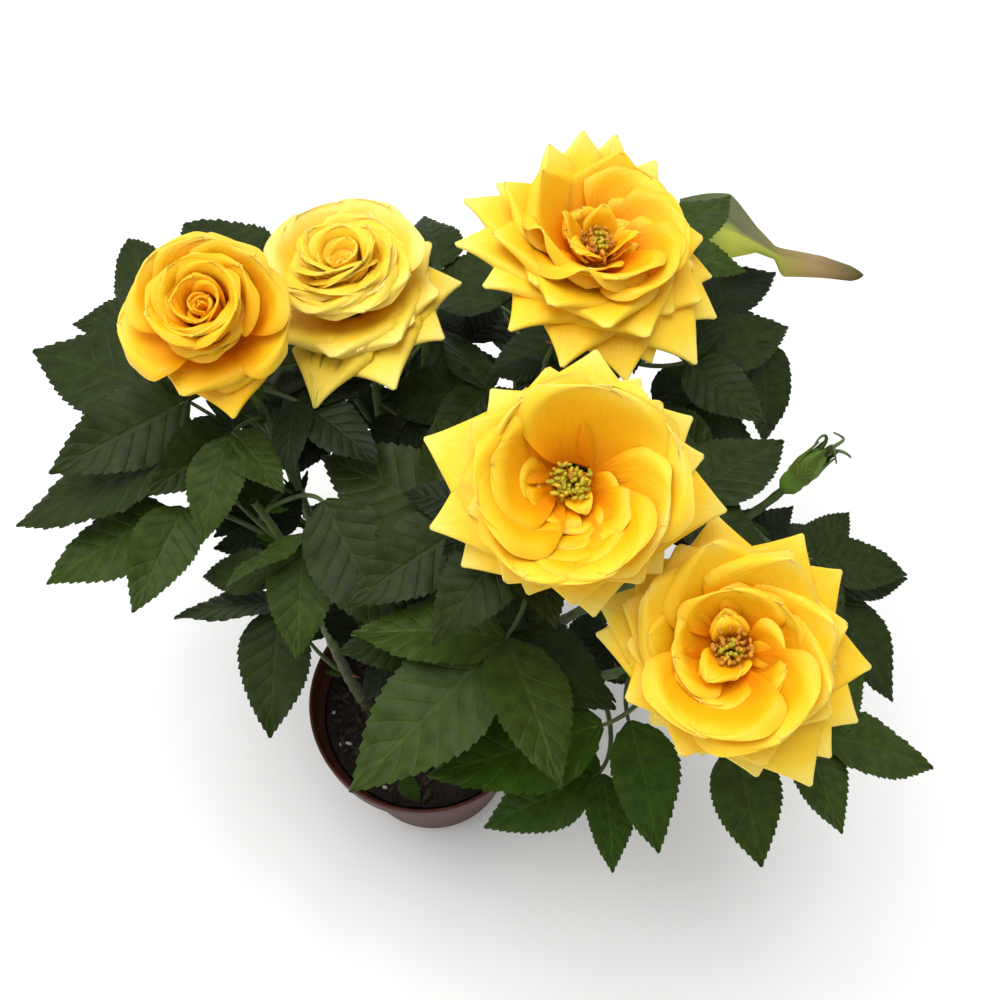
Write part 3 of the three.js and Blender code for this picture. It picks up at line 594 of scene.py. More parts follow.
def make_pot():
    collar_foot = POT["height"] - POT["collar"]
    inner = POT["rim"] - POT["wall"]
    profile = rounded([
        (0.05, 0), (POT["base"] - 4, 0), (POT["base"] - POT["recess"], 0), (POT["base"], POT["recess"]),
        (wall_radius(collar_foot), collar_foot), (POT["rim"] - 0.6, collar_foot + 0.6),
        (POT["rim"], POT["height"] - 1.5), (POT["rim"], POT["height"]), (inner, POT["height"]),
        (inner - 0.6, collar_foot + POT["wall"]), (wall_radius(collar_foot) - POT["wall"], collar_foot - 1.2),
        (wall_radius(POT["floor"]) - POT["wall"], POT["floor"]), (0.05, POT["floor"]),
    ], 0.6)
    shape = Shape()
    add_lathe(shape, profile, SIDES_ROUND["pot"])
    pot = shape.build("pot_shell", POT_LOOK, "pot", ("pot",))
    for k in range(POT["holes"]):
        at = heading(k * 360 / POT["holes"]) * POT["hole_circle"] * MM
        bpy.ops.mesh.primitive_cylinder_add(vertices=24, radius=POT["hole_radius"] * MM,
                                            depth=5 * POT["floor"] * MM, location=at)
        drill = bpy.context.object
        cut = pot.modifiers.new("drain_hole", "BOOLEAN")
        cut.operation, cut.object, cut.solver = "DIFFERENCE", drill, "EXACT"
        bpy.context.view_layer.objects.active = pot
        bpy.ops.object.modifier_apply(modifier=cut.name)
        bpy.data.objects.remove(drill)


def lumps(x, y, scale):
    return noise.fractal(Vector((x / scale, y / scale, 3.7)), 0.9, 2.1, 4)


def make_soil():
    """Potting mix with a crumbly top, bits of bark and a few pale specks."""
    edge = wall_radius(SOIL_TOP) - POT["wall"] - GAP
    shape = Shape()
    sides = SIDES_ROUND["soil"]
    spokes = np.concatenate([[0.05], np.linspace(0.6, edge - 0.4, 70)])[:, None]
    top = rings(spokes * 0 * UP, spokes * vec(1, 0, 0), spokes * vec(0, 1, 0), sides)
    for row in top:
        for spot in row:
            spot[2] = SOIL_TOP - 1.2 + 1.1 * lumps(spot[0], spot[1], 7) + 0.5 * lumps(spot[0], spot[1], 2)
    shape.grid(top, wrap=True)
    foot = POT["floor"] + GAP
    side = [(edge - 0.4, SOIL_TOP - 1.5), (wall_radius(SOIL_TOP - 3) - POT["wall"] - GAP, SOIL_TOP - 3),
            (wall_radius(foot) - POT["wall"] - GAP, foot), (0.05, foot)]
    add_lathe(shape, side[::-1], sides)
    shape.build("potting_mix", SOIL_LOOK, "soil", ("soil",))
    chance = seeded(11)
    scatter("bark_bits", GRAIN_LOOK, chance, 420, (0.5, 1.6), edge)
    scatter("pale_specks", SPECK_LOOK, chance, 46, (0.4, 0.9), edge)


def scatter(name, look, chance, count, sizes, edge):
    """Small rough lumps lying on the potting mix."""
    shape = Shape()
    for _ in range(count):
        radius = (edge - 2.5) * math.sqrt(chance())
        angle = 2 * math.pi * chance()
        x, y = radius * math.cos(angle), radius * math.sin(angle)
        size = between(chance, sizes)
        centre = vec(x, y, SOIL_TOP - 1.0 + 1.1 * lumps(x, y, 7) + size * 0.2)
        axis = heading(360 * chance(), 60 * chance() - 30)
        stretch = vec(between(chance, (1.0, 2.0)), between(chance, (0.6, 1.1)), between(chance, (0.5, 0.9)))
        add_lump(shape, centre, axis, stretch * size)
    shape.build(name, look, "soil")


def add_lump(shape, centre, axis, radii, rows=5, sides=7):
    """A closed lump with its own radius along an axis and in the two directions across it."""
    side, normal = side_and_normal(axis)
    polar = np.linspace(0.02, math.pi - 0.02, rows)[:, None]
    width = np.sin(polar)
    centres = centre + radii[0] * np.cos(polar) * axis
    shape.grid(rings(centres, radii[1] * width * side, radii[2] * width * normal, sides), wrap=True)


# ---------------------------------------------------------------- shoots


def shoot_curve(shoot):
    """A shoot rises steeply from the soil and bends over to point the way its tip leans."""
    foot = vec(*shoot["foot"], SOIL_TOP + GAP)
    tip = vec(*shoot["tip"])
    reach = np.linalg.norm(tip - foot)
    outward = unit(unit(vec(*shoot["foot"], 0)) * BEND["outward"] + UP)
    return [foot, foot + outward * reach * BEND["rise"],
            tip - heading(*shoot["lean"]) * reach * BEND["lean"], tip]


CURVES = {name: shoot_curve(shoot) for name, shoot in SHOOTS.items()}


def shoot_radius(share):
    return np.interp(share, [0, FORK, 1], [CANE["foot"], CANE["fork"], CANE["tip"]])


def make_shoots():
    """Canes with swollen nodes from the soil to the fork, green stems from there to the tips."""
    canes, stems, thorns = Shape(), Shape(), Shape()
    chance = seeded(31)
    for index, (name, curve) in enumerate(CURVES.items()):
        strip = (index / len(CURVES), (index + 0.9) / len(CURVES))
        for shape, start, end, sides in ((canes, -0.02, FORK, 14), (stems, FORK, 1.0, 12)):
            shares = np.linspace(start, end, 60)
            knots = KNOTS["size"] * np.cos(shares * 2 * math.pi * KNOTS["count"]) ** 8
            radii = shoot_radius(shares) * (1 + knots) + 0.06 * np.sin(shares * 170)
            add_tube(shape, bezier(curve, shares), radii, sides, strip)
        for k in range(KNOTS["thorns"]):
            add_thorn(thorns, curve, 0.08 + 0.09 * k + 0.04 * chance(), 360 * chance(), 1.6 + 1.8 * chance())
    canes.build("canes", CANE_LOOK, "cane", [f"cane_{name}" for name in SHOOTS])
    stems.build("green_stems", STEM_LOOK, "leaf")
    thorns.build("prickles", THORN_LOOK, "cane")


def add_thorn(shape, curve, share, turn, length):
    """A flattened, slightly hooked prickle."""
    centre, tangent = bezier_at(curve, share)
    side, normal = side_and_normal(tangent)
    out = side * math.cos(math.radians(turn)) + normal * math.sin(math.radians(turn))
    root = centre + out * shoot_radius(share) * 0.7
    steps = np.linspace(0, 1, 5)[:, None]
    middle = root + out * length * 1.4 * steps - tangent * length * 0.5 * steps ** 2
    across = unit(np.cross(out, tangent))
    width = length * (1 - steps) ** 1.3
    shape.grid(rings(middle, width * 0.45 * tangent, width * 0.16 * across, 8), wrap=True)


# ---------------------------------------------------------------- leaves

TEETH, TEETH_BELOW = 18, 12  # on each margin of a leaflet, and in the undergrowth
MID_SHARE = 0.35  # of the seeded leaves, these have the middle tone
FULLER = (0.62, 1.1)  # the drawn blade is fuller at its middle than the rule's
LEAF_COLUMNS = np.array([-1, -0.8, -0.5, -0.24, 0, 0.24, 0.5, 0.8, 1])


def blade_half_width(share, length, ratio, foot=0.55, tip=0.95):
    """Half width of a leaf blade at a share of its length: round foot, long point."""
    widest = foot / (foot + tip)
    peak = widest ** foot * (1 - widest) ** tip
    return (ratio * length / 2) * (share ** foot * (1 - share) ** tip) / peak


def add_leaflet(shape, leaflet, chance, teeth=TEETH):
    """A serrated, pleated blade folded along its midrib and drooping to its tip."""
    length, ratio = leaflet["length"], leaflet.get("width", LEAF["width"])
    rows = teeth * 3 + 1
    share = np.linspace(0, 1, rows)[:, None]
    tooth = np.tile([0.0, 0.55, 1.0], teeth + 1)[:rows, None]
    columns, out = LEAF_COLUMNS[None], np.abs(LEAF_COLUMNS[None])
    body = blade_half_width(np.clip(share, 0.004, 0.996), length, ratio, *FULLER)
    half_width = body * np.ones_like(columns)
    half_width[:, [0, -1]] += tooth * np.minimum(0.045 * body + 0.15, 0.8) * smooth(share, 0.04, 0.16)
    across = columns * np.maximum(half_width, 0.12)
    forward = length * share + out ** 6 * (tooth - 0.3) * length / teeth * 0.25  # the teeth point forward
    fold = LEAF["fold"] * (0.7 + 0.7 * chance())
    droop = LEAF["droop"] * (0.3 + 1.0 * chance())
    wave = (chance() - 0.5) * 0.09 * length
    pleat = np.sin(2 * math.pi * (share * VEINS - VEIN_SLANT * out ** VEIN_BOW)) * out ** 0.7
    pleat = pleat * smooth(1 - share, 0, 0.25)
    edge_wave = np.sin(2 * math.pi * (share * 1.6 + chance())) * columns ** 2 * smooth(share, 0, 0.3)
    side_curl = (chance() - 0.5) * 0.35 * (across / max(ratio * length / 2, 1)) ** 2 * ratio * length
    lift = (fold * np.abs(across) - droop * length * share ** 2 + wave * np.sin(math.pi * share)
            + 0.007 * length * pleat + 0.02 * length * edge_wave - np.abs(side_curl) * 0.5)
    roll = (chance() - 0.5) * 0.5
    side = leaflet["side"] * math.cos(roll) + leaflet["normal"] * math.sin(roll)
    normal = leaflet["normal"] * math.cos(roll) - leaflet["side"] * math.sin(roll)
    middle = (leaflet["root"] + forward[..., None] * leaflet["direction"]
              + across[..., None] * side + lift[..., None] * normal)
    thickness = 0.22 * (1 - out ** 4) + 0.015 + 0.35 * np.exp(-(columns / 0.12) ** 2) * (1 - share)
    add_thin(shape, middle, np.broadcast_to(normal, middle.shape), thickness, share[:, 0], LEAF_COLUMNS)


def leaf_path(curve, leaf):
    """Stalk curve, root of the end leaflet and its direction, for one compound leaf."""
    share, azimuth, reach, rise, turn, slope = leaf[:6]
    start, _ = bezier_at(curve, share)
    end = start + heading(azimuth) * reach + UP * rise
    arrive = heading(azimuth + turn, LEAF["stalk_rise"])
    stalk = [start, end - arrive * reach * LEAF["stalk_bend"], end]
    return stalk, end, heading(azimuth + turn, slope)


def leaflet_at(root, direction, above, length, **more):
    """A leaflet that lies along a direction, with its upper side towards another."""
    side, normal = side_and_normal(direction, above)
    return dict(root=root, direction=direction, side=side, normal=normal, length=length, **more)


def leaflets_of(path, size, pairs):
    """The leaflets of one compound leaf, the end one first."""
    stalk, end, direction = path
    places = [leaflet_at(end, direction, UP, size, end=True)]
    for pair in range(pairs):
        root, forward = bezier_at(stalk, LEAF["pair_place"][pair])
        side, normal = side_and_normal(forward)
        angle = math.radians(LEAF["pair_angle"][pair])
        for hand in (-1, 1):
            direction = forward * math.cos(angle) + side * hand * math.sin(angle)
            direction = unit(direction - normal * LEAF["pair_droop"])
            places.append(leaflet_at(root, direction, normal, size * LEAF["pair_size"][pair], end=False))
    return places


def leaflet_samples(leaflet):
    """Points on a leaflet that stand for it when distances are kept."""
    share = np.array(CLEAR["shares"])[:, None]
    length = leaflet["length"]
    middle = leaflet["root"] + leaflet["direction"] * length * share
    middle = middle - leaflet["normal"] * LEAF["droop"] * length * share ** 2
    half = blade_half_width(share, length, LEAF["width"]) * CLEAR["width"]
    return np.concatenate([middle, middle + leaflet["side"] * half, middle - leaflet["side"] * half])


def too_close(samples, others, distance):
    if not len(others):
        return False
    gaps = samples[:, None] - np.asarray(others)[None]
    return bool((np.einsum("ijk,ijk->ij", gaps, gaps) < distance ** 2).any())


def fill_rows(rule, count, chance):
    """Seeded fill leaves of one shoot, a fixed turn from one to the next."""
    first = 360 * chance()
    rows = []
    for k in range(count):
        share = rule["first"] + (rule["last"] - rule["first"]) * ((k + 0.5) / count)
        azimuth = first + rule["turn"] * k + rule["jitter"] * (2 * chance() - 1)
        reach = between(chance, rule["reach"])
        rise = between(chance, rule["rise"])
        turn = rule["bend"] * (2 * chance() - 1)
        slope = between(chance, rule["slope"])
        size = between(chance, rule["size"])
        pairs = 2 if chance() < rule["two_pairs"] else 1
        rows.append((share, azimuth, reach, rise, turn, slope, size, pairs, None))
    return rows


class Foliage:
    """Leaflets by tone, their stalks, and the sample points that keep them apart."""

    def __init__(self):
        self.blades = {(tone, name): Shape() for tone in LEAF_TONES for name in SHOOTS}
        self.stalks = Shape()
        self.samples = []
        self.limbs = np.concatenate([bezier(curve, np.linspace(0, 1, 25)) for curve in CURVES.values()])
        self.chance = seeded(77)

    def grow(self, name, leaf, shown, clear=CLEAR["leaflet"], keep_in=None, furled=False):
        """One compound leaf: its end leaflet, then the side leaflets that have room."""
        path = leaf_path(CURVES[name], leaf)
        tone = leaf[8] or ("mid" if self.chance() < MID_SHARE else "deep")
        teeth = TEETH_BELOW if tone == "shade" else TEETH
        grown = []
        for leaflet in leaflets_of(path, leaf[6], leaf[7]):
            samples = leaflet_samples(leaflet)
            crowded = too_close(samples, self.samples, clear) or too_close(samples, self.limbs, CLEAR["limb"])
            outside = keep_in is not None and not keep_in(samples)
            if (crowded or outside) and not (shown and leaflet["end"]):
                if leaflet["end"]:
                    return
                continue
            grown.extend(samples)
            if furled:
                continue
            add_leaflet(self.blades[tone, name], leaflet, self.chance, teeth)
            if not leaflet["end"]:
                stalk = [leaflet["root"], leaflet["root"] + leaflet["direction"] * 3.0]
                add_limb(self.stalks, stalk, 3, (0.55, 0.4), 6)
        self.samples.extend(grown)
        add_limb(self.stalks, path[0] + [path[1] + path[2] * 3.0], 18, (LEAF["stalk"] * 1.2, 0.5), 6)
        self.add_stipules(name, path[0])

    def add_stipules(self, name, stalk):
        """The pair of narrow wings at the foot of a stalk."""
        root, forward = bezier_at(stalk, 0.04)
        side, normal = side_and_normal(forward)
        for hand in (-1, 1):
            wing = leaflet_at(root, unit(forward + side * hand * 0.45), normal, 8.0, width=0.3)
            add_leaflet(self.blades["fresh", name], wing, self.chance, 4)


def inside_box(samples):
    """True where a new leaflet keeps within the plant's own reach and above the pot."""
    low, high = np.array(CAD_BOX[0]) / MM, np.array(CAD_BOX[1]) / MM
    within = (samples > low + 2).all() and (samples < high - 2).all()
    return within and samples[:, 2].min() > POT["height"] + 4 and samples[:, 1].min() > -OPEN_FRONT


def make_foliage():
    foliage = Foliage()
    chance = seeded(FILL["seed"])
    fill = {name: fill_rows(FILL, shoot["fill"], chance) for name, shoot in SHOOTS.items()}
    for name, rows in LEAVES.items():
        for leaf in rows:
            foliage.grow(name, leaf, True)
    foliage.grow(FURLED["shoot"], FURLED["leaf"], True, furled=True)
    for name, rows in fill.items():
        for leaf in rows:
            foliage.grow(name, leaf, False)
    chance = seeded(UNDERGROWTH["seed"])
    for name in SHOOTS:
        for leaf in fill_rows(UNDERGROWTH, UNDERGROWTH["count"], chance):
            # The undergrowth takes the shade tone, which paints the shade inside the bush.
            foliage.grow(name, (*leaf[:8], "shade"), False, UNDERGROWTH_CLEAR, inside_box)
    for tone, look in LEAF_TONES.items():
        for side, names in SIDES.items():
            spray = Shape()
            for name in names:
                spray.join(foliage.blades[tone, name])
            if spray.count:
                spray.build(f"leaves_{tone}_{side}", look, "leaf", [f"foliage_{name}" for name in names])
    foliage.stalks.build("leaf_stalks", STALK_LOOK, "leaf")
    make_furled_leaf()
    make_lying_leaf()


def make_lying_leaf():
    """A small single leaflet that lies on the potting mix by the front rim."""
    shape = Shape()
    lying = leaflet_at(vec(-9, -29, SOIL_TOP + 1.5), heading(-50, -3), UP, 12, width=0.62)
    add_leaflet(shape, lying, seeded(3), 8)
    shape.build("lying_leaf", LEAF_TONES["fresh"], "leaf")


def make_furled_leaf():
    """The young leaf that hasn't opened: a broad folded blade with a neck and a long twisted end."""
    rows = 60
    steps = np.linspace(0, 1, rows)
    knots = np.linspace(0, 1, len(FURLED["line"]))
    line = np.stack([np.interp(steps, knots, column) for column in np.array(FURLED["line"], float).T], -1)
    for _ in range(6):
        line[1:-1] = (line[:-2] + 2 * line[1:-1] + line[2:]) / 4
    above, below = np.interp(steps, knots, FURLED["above"]), np.interp(steps, knots, FURLED["below"])
    ends = np.minimum(smooth(steps, -0.25, 0.12), np.sqrt(np.clip((1 - steps) / 0.05, 0, 1)) * 0.9 + 0.1)
    columns = np.linspace(-1, 1, 13)[None]
    reach = np.where(columns < 0, below[:, None], above[:, None]) * ends[:, None]
    rise, fall = unit(vec(0.1, 0.8, 0.5)), unit(vec(0, 0.95, 0.12))
    spread = columns * reach
    middle = line[:, None] + spread[..., None] * np.where(columns[..., None] < 0, fall, rise)
    middle = middle - (0.25 * np.abs(columns) ** 3 * reach)[..., None] * vec(0, 0, 1)
    normals = sheet_normals(middle)
    normals *= np.where(normals[..., 2:] < 0, -1.0, 1.0)
    thickness = 0.5 * (1 - columns ** 4) * np.ones((rows, 1)) + 0.03
    shape = Shape()
    add_thin(shape, middle, normals, thickness, steps, columns[0])
    shape.build("furled_leaf", FURLED_LOOK, "leaf")


# ---------------------------------------------------------------- blooms

PETAL_ROWS = 23
PETAL_COLUMNS = np.linspace(-1, 1, 21)
PETAL_ROLL = 2.2  # radius to which a margin is turned back
FLAT_SHARE = 0.84  # of a petal's half width, before its margin turns back

# Kinds of petal. root, height: where it starts. open: angle from the flower's axis at root, middle
# and tip. cup: how far the blade wraps round the axis. roll: how far the margins turn back, in
# degrees. point: 0 for a rounded rim, 1 for margins rolled to a point. lip: how far the rim turns out.
PETAL_FIELDS = ("root", "height", "open", "cup", "roll", "point", "lip")
KINDS = {
    "spike": (4, 0, (54, 88, 116), 0.05, 165, 1.0, 0),
    "fold": (4, 2, (52, 66, 92), 0.2, 150, 0.85, 0),
    "wall": (4, 4, (58, 46, 28), 0.7, 80, 0.15, 14),
    "tall": (4, 3, (56, 48, 34), 0.5, 130, 0.7, 6),
    "rim": (4, 4, (58, 38, 16), 0.9, 80, 0.2, 42),
    "crown": (3.4, 2.1, (17.35, 36, 82.9), 0.8, 120, 0.45, 14),
    "crest": (3.4, 3, (14.5, 30, 73), 0.8, 120, 0.45, 14),
    "back": (4, 3, (50, 58, 62), 0.3, 150, 0.9, 0),
    "cupped": (4, 3, (56, 62, 64), 0.55, 120, 0.35, 6),
    "bowl": (3.4, 4, (58, 10, 28), 0.9, 120, 0.4, 30),
    "barrel": (3.2, 5, (42, 4, 18), 0.95, 100, 0.3, 24),
    "scroll": (2.8, 6, (26, 0, 10), 1, 60, 0.25, 20),
    "whorl": (2.2, 6, (2, 4, 14), 1, 40, 0.25, 22),
    "core": (1.1, 7, (0, 1, 5), 1, 10, 0.2, 12),
}
# These are given by their length, the others by the reach of their tip.
UPRIGHT = ("bowl", "barrel", "scroll", "whorl", "core")
# Each bloom: where it faces, how far its base stands from the shoot's tip, the side to which it
# sags and by how much, and its petals from the outside in, as kind, reach or length, width and
# azimuths.
BLOOMS = {
    "west": dict(look="deep", lean=(-110, 74), shift=(0, 4.5, 3.5), sag=(90, 4), petals=[
        ("spike", 27, 28, (118,)), ("fold", 24, 34, (90, 165)), ("cupped", 26, 42, (22,)),
        ("cupped", 24, 38, (-165,)), ("wall", 22, 40, (-70, -118, -22)), ("fold", 20, 34, (60, 130)),
        ("fold", 16, 32, (30, 80, 130, -175)), ("bowl", 15, 34, (20, 75, 130, 165, 215, 290)),
        ("bowl", 23, 34, (0, -60, -120)), ("barrel", 24, 34, (110, 40, -30, -100, 175)),
        ("barrel", 22, 28, (75, -10, -140)), ("scroll", 20, 22, (30, 120, 210, 300)),
        ("whorl", 16, 15, (0, 120, 240)), ("core", 14, 8, (60, 180, 300)),
    ]),
    "north_west": dict(look="pale", lean=(130, 79), shift=(-3, 6, 6), sag=(-120, 7), petals=[
        ("spike", 35, 36, (-32,)), ("spike", 36, 36, (-106,)), ("spike", 33, 34, (-70,)),
        ("spike", 29, 34, (150, 118)), ("fold", 30, 36, (-10, 175)), ("fold", 28, 38, (-50, -95, -135)),
        ("wall", 25, 42, (50, 92, 8)), ("fold", 25, 38, (-30, -75, -120, -165)),
        ("wall", 22, 40, (70, 28, 128)),
        ("crown", 21, 38, (-10, -58, -105, -150)), ("crest", 18, 36, (-35, -85, -130, 170)),
        ("fold", 18, 34, (-25, -75, -125)), ("bowl", 17, 36, (-20, -70, -120, -170)),
        ("bowl", 25, 38, (60, 15, 110, -40, -95, -150)), ("barrel", 25, 32, (40, 100, 160, 220, 280, 340)),
        ("barrel", 23, 28, (70, 160, 250, 340)), ("scroll", 21, 23, (20, 110, 200, 290)),
        ("whorl", 17, 15, (0, 120, 240)), ("core", 15, 8, (60, 180, 300)),
    ]),
    "north_east": dict(look="plain", lean=(0, 82), shift=(2, 0, 1), sag=(85, 12), petals=[
        ("spike", 38, 32, (-65, -130)), ("spike", 42, 32, (-88, -112)), ("back", 33, 32, (-168, 170)),
        ("back", 31, 30, (-150, 148)), ("spike", 43, 34, (140, 45)),
        ("spike", 40, 34, (115, 72)), ("spike", 38, 36, (93,)), ("spike", 39, 32, (12, -14, -42)),
        ("spike", 35, 36, (160, 122, 82, 30)), ("fold", 33, 34, (-82, -116, -148, 175, 0, -28)),
        ("fold", 32, 38, (142, 104, 66, 24)), ("fold", 28, 38, (-50, -95, -140, 170, 125, 85, 48, 5)),
        ("tall", 25, 38, (-62, -122, -18, 170)), ("fold", 24, 36, (125, 85, 45)),
        ("rim", 21, 36, (140, 95, 50, 8)), ("rim", 16, 29, (115, 70)), ("rim", 12, 22, (95, -150, -95, -20)),
    ]),
    "centre": dict(look="plain", lean=(-95, 62), shift=(0, 0, 0), sag=(0, 0), petals=[
        ("spike", 41, 34, (-14, 175)), ("spike", 39, 36, (21,)), ("spike", 36, 35, (42, 213, 265)),
        ("spike", 35, 38, (105, 195)), ("spike", 33, 36, (-46, 140, 240)), ("spike", 31, 36, (74,)),
        ("fold", 30, 40, (-25, 58, 95, 128, 162, 228, 285)), ("fold", 27, 40, (20, 75, 185, 250, -60)),
        ("wall", 26, 46, (-106, -158)), ("wall", 24, 38, (-55, 158)), ("rim", 25, 38, (112, 65, 18)),
        ("rim", 21.5, 36, (90, 42, -8)), ("rim", 17.5, 32, (112, 62, 15)), ("rim", 13, 27, (80, 34)),
        ("rim", 8.5, 18, (52,)),
    ]),
    "south_east": dict(look="plain", lean=(-110, 66), shift=(0, 1, 1), sag=(0, 0), petals=[
        ("spike", 36, 34, (-28, 12)), ("spike", 38, 35, (-5, 150, 171)), ("spike", 41, 38, (136,)),
        ("spike", 34, 35, (118,)), ("spike", 29, 38, (60, 92)), ("spike", 37, 35, (192, 231, 257, 292)),
        ("fold", 30, 40, (-48, -5, 42, 84, 125, 165, 212, 255)),
        ("fold", 27, 38, (15, 62, 105, 190, 238, 285)),
        ("tall", 27, 38, (-105, -60)), ("tall", 25, 38, (-146, 172, -20)), ("rim", 23, 42, (136, 88)),
        ("tall", 21, 34, (42, 5)), ("wall", 17, 31, (-118, -72)), ("rim", 15, 28, (25, 75, 178)),
    ]),
}
# The petal with green streaks: its bloom, reach, width, azimuth and how far it hangs.
GUARD = dict(bloom="north_west", reach=38, width=30, azimuth=-147, hang=14)
# The open blooms show their hearts: crumpled petals, stamens, and the colour of their anthers.
HEARTS = {
    "north_east": (9, 46, ANTHER_LOOK),
    "centre": (3, 60, STIGMA_LOOK),
    "south_east": (9, 46, ANTHER_LOOK),
}
STIGMAS = 26
HIP = dict(root=2.4, neck=CANE["tip"] * 1.15,
           profile=((0.1, -6), (1.6, -5.8), (3.6, -4.2), (4.8, -1.6), (4.4, 0.6), (3.4, 1.4), (0.1, 1.8)))
SEPAL = dict(count=5, length=17 * 1.15, width=0.36, slopes=(-10, -40, -70))
BUD = dict(radius=4.1, length=15, sepals=5, missing_tail=2)


class Flower:
    """A flower's place: its base, its axis and the directions round it."""

    def __init__(self, name, lean=None, shift=(0, 0, 0)):
        self.base = vec(*SHOOTS[name]["tip"]) + vec(*shift)
        self.axis = heading(*(lean or SHOOTS[name]["lean"]))
        self.side, self.normal = side_and_normal(self.axis)

    def around(self, azimuth):
        """Direction across the axis at an azimuth in degrees."""
        a = math.radians(azimuth)
        return self.side * math.cos(a) - self.normal * math.sin(a)

    def at(self, radius, height, azimuth):
        return self.base + self.axis * height + self.around(azimuth) * radius


def turned_margin(half_width, wrap, fold_from, radius, roll, reach):
    """Across and lift of one half of a petal at each row, bent round and then turned back."""
    distance = half_width[:, None] * reach[None]
    beyond = np.maximum(distance - (fold_from * half_width)[:, None], 0)
    bend = wrap[:, None] * distance - np.minimum(beyond / radius[:, None], roll[:, None])
    step = half_width[:, None] / (len(reach) - 1)
    start = np.zeros((len(half_width), 1))
    across = np.concatenate([start, np.cumsum(np.cos(bend[:, 1:]) * step, 1)], 1)
    lift = np.concatenate([start, np.cumsum(np.sin(bend[:, 1:]) * step, 1)], 1)
    return across, lift


def petal_halves(petal, along, radius, chance):
    """Across and lift of the whole petal: it wraps round the axis, then its margins turn back."""
    pointed = petal["point"]
    outline = along ** 0.5 * np.maximum(1 - along ** (6 - 3.2 * pointed), 0.0) ** (0.5 + 0.3 * pointed)
    full = petal["width"] / 2 * (0.95 + 0.1 * chance())
    half_width = full * outline / outline.max() + 0.1
    wrap = petal["cup"] / np.maximum(radius, 2.5)
    wrap = wrap - math.radians(0.9) * pointed * smooth(along, 0.45, 1.0)
    roll = math.radians(petal["roll"] * (0.85 + 0.3 * chance())) * smooth(along, 0.25, 0.6)
    roll = roll * (1 - (1 - pointed) * smooth(along, 0.8, 0.97))
    margin_radius = PETAL_ROLL * (1 - 0.75 * pointed * smooth(along, 0.5, 1.0))
    reach = np.linspace(0, 1, 41)
    picks = np.linspace(0, 40, len(PETAL_COLUMNS) // 2 + 1).astype(int)
    halves = []
    for _ in range(2):
        shoulder = 0.42 + 0.12 * chance()
        visible = FLAT_SHARE * full * np.clip((1 - along) / (1 - shoulder), 0, 1) ** 1.1
        half = (1 - pointed) * half_width + pointed * np.minimum(half_width, 1.5 * visible + 1)
        fold_from = FLAT_SHARE * (1 - pointed) + pointed * np.minimum(FLAT_SHARE, visible / half)
        across, lift = turned_margin(half, wrap, fold_from, margin_radius, roll, reach)
        halves.append((across[:, picks], lift[:, picks]))
    across = np.concatenate([-halves[0][0][:, ::-1], halves[1][0][:, 1:]], 1)
    lift = np.concatenate([halves[0][1][:, ::-1], halves[1][1][:, 1:]], 1)
    return across, lift


def add_petal(shape, flower, petal, azimuth, level, chance):
    """A petal that opens from its root to its tip, as its kind tells."""
    along = np.sin(np.linspace(0.06, 1, PETAL_ROWS) * math.pi / 2) ** 1.1
    opening = np.interp(along, [0, 0.55, 1], petal["open"]) + petal["lip"] * smooth(along, 0.78, 1.0)
    step = np.diff(along, prepend=0)
    if "length" in petal:
        length = petal["length"] * (0.95 + 0.1 * chance())
    else:
        length = (petal["reach"] - petal["root"]) / np.sum(step * np.sin(np.radians(opening)))
    hang = petal["hang"] * np.interp(along, [0, 0.55, 1], [0.4, 0.8, 1])
    angles = np.radians(opening + hang + 9 * (chance() - 0.5))
    radius = petal["root"] + np.cumsum(step * np.sin(angles)) * length
    height = petal["height"] + np.cumsum(step * np.cos(angles)) * length
    across, lift = petal_halves(petal, along, radius, chance)
    columns = PETAL_COLUMNS[None]
    ripple = 2 * math.pi * chance()
    rim = smooth(along, 0.55, 1)[:, None]
    waves = (0.5 * np.sin(columns * 5 + ripple) * np.abs(columns)
             + 0.3 * np.sin(columns * 14 + ripple * 3) * columns ** 2)
    lift = lift + rim * waves * (1 - 0.6 * petal["point"])
    frill = 0.7 * np.sin(columns * 5 + ripple * 2) + 0.45 * np.sin(columns * 13 + ripple)
    frill = rim * (1 - petal["point"]) * frill
    radial = flower.around(azimuth)
    tangent = np.cross(flower.axis, radial)
    twist = math.radians(6 + 8 * (chance() - 0.5))
    outward = np.sin(angles)[:, None] * radial + np.cos(angles)[:, None] * flower.axis
    inward = -np.cos(angles)[:, None] * radial + np.sin(angles)[:, None] * flower.axis
    sideways = tangent * math.cos(twist) + inward * math.sin(twist)
    raised = inward * math.cos(twist) - tangent * math.sin(twist)
    centre = flower.base + radial * radius[:, None] + flower.axis * height[:, None]
    middle = (centre[:, None] + across[..., None] * sideways[:, None] + lift[..., None] * raised[:, None]
              + frill[..., None] * outward[:, None])
    normals = sheet_normals(middle)
    facing = np.einsum("ij,ij->i", normals[:, len(PETAL_COLUMNS) // 2], raised)
    normals = normals * np.where(facing < 0, -1.0, 1.0)[:, None, None]
    thickness = 0.2 * (1 - np.abs(columns) ** 6) * np.ones((len(along), 1)) + 0.02
    tile = (level * 2 / PETAL_STRIPS, (level * 2 + 2) / PETAL_STRIPS)
    add_thin(shape, middle, normals, thickness, along, PETAL_COLUMNS, tile)


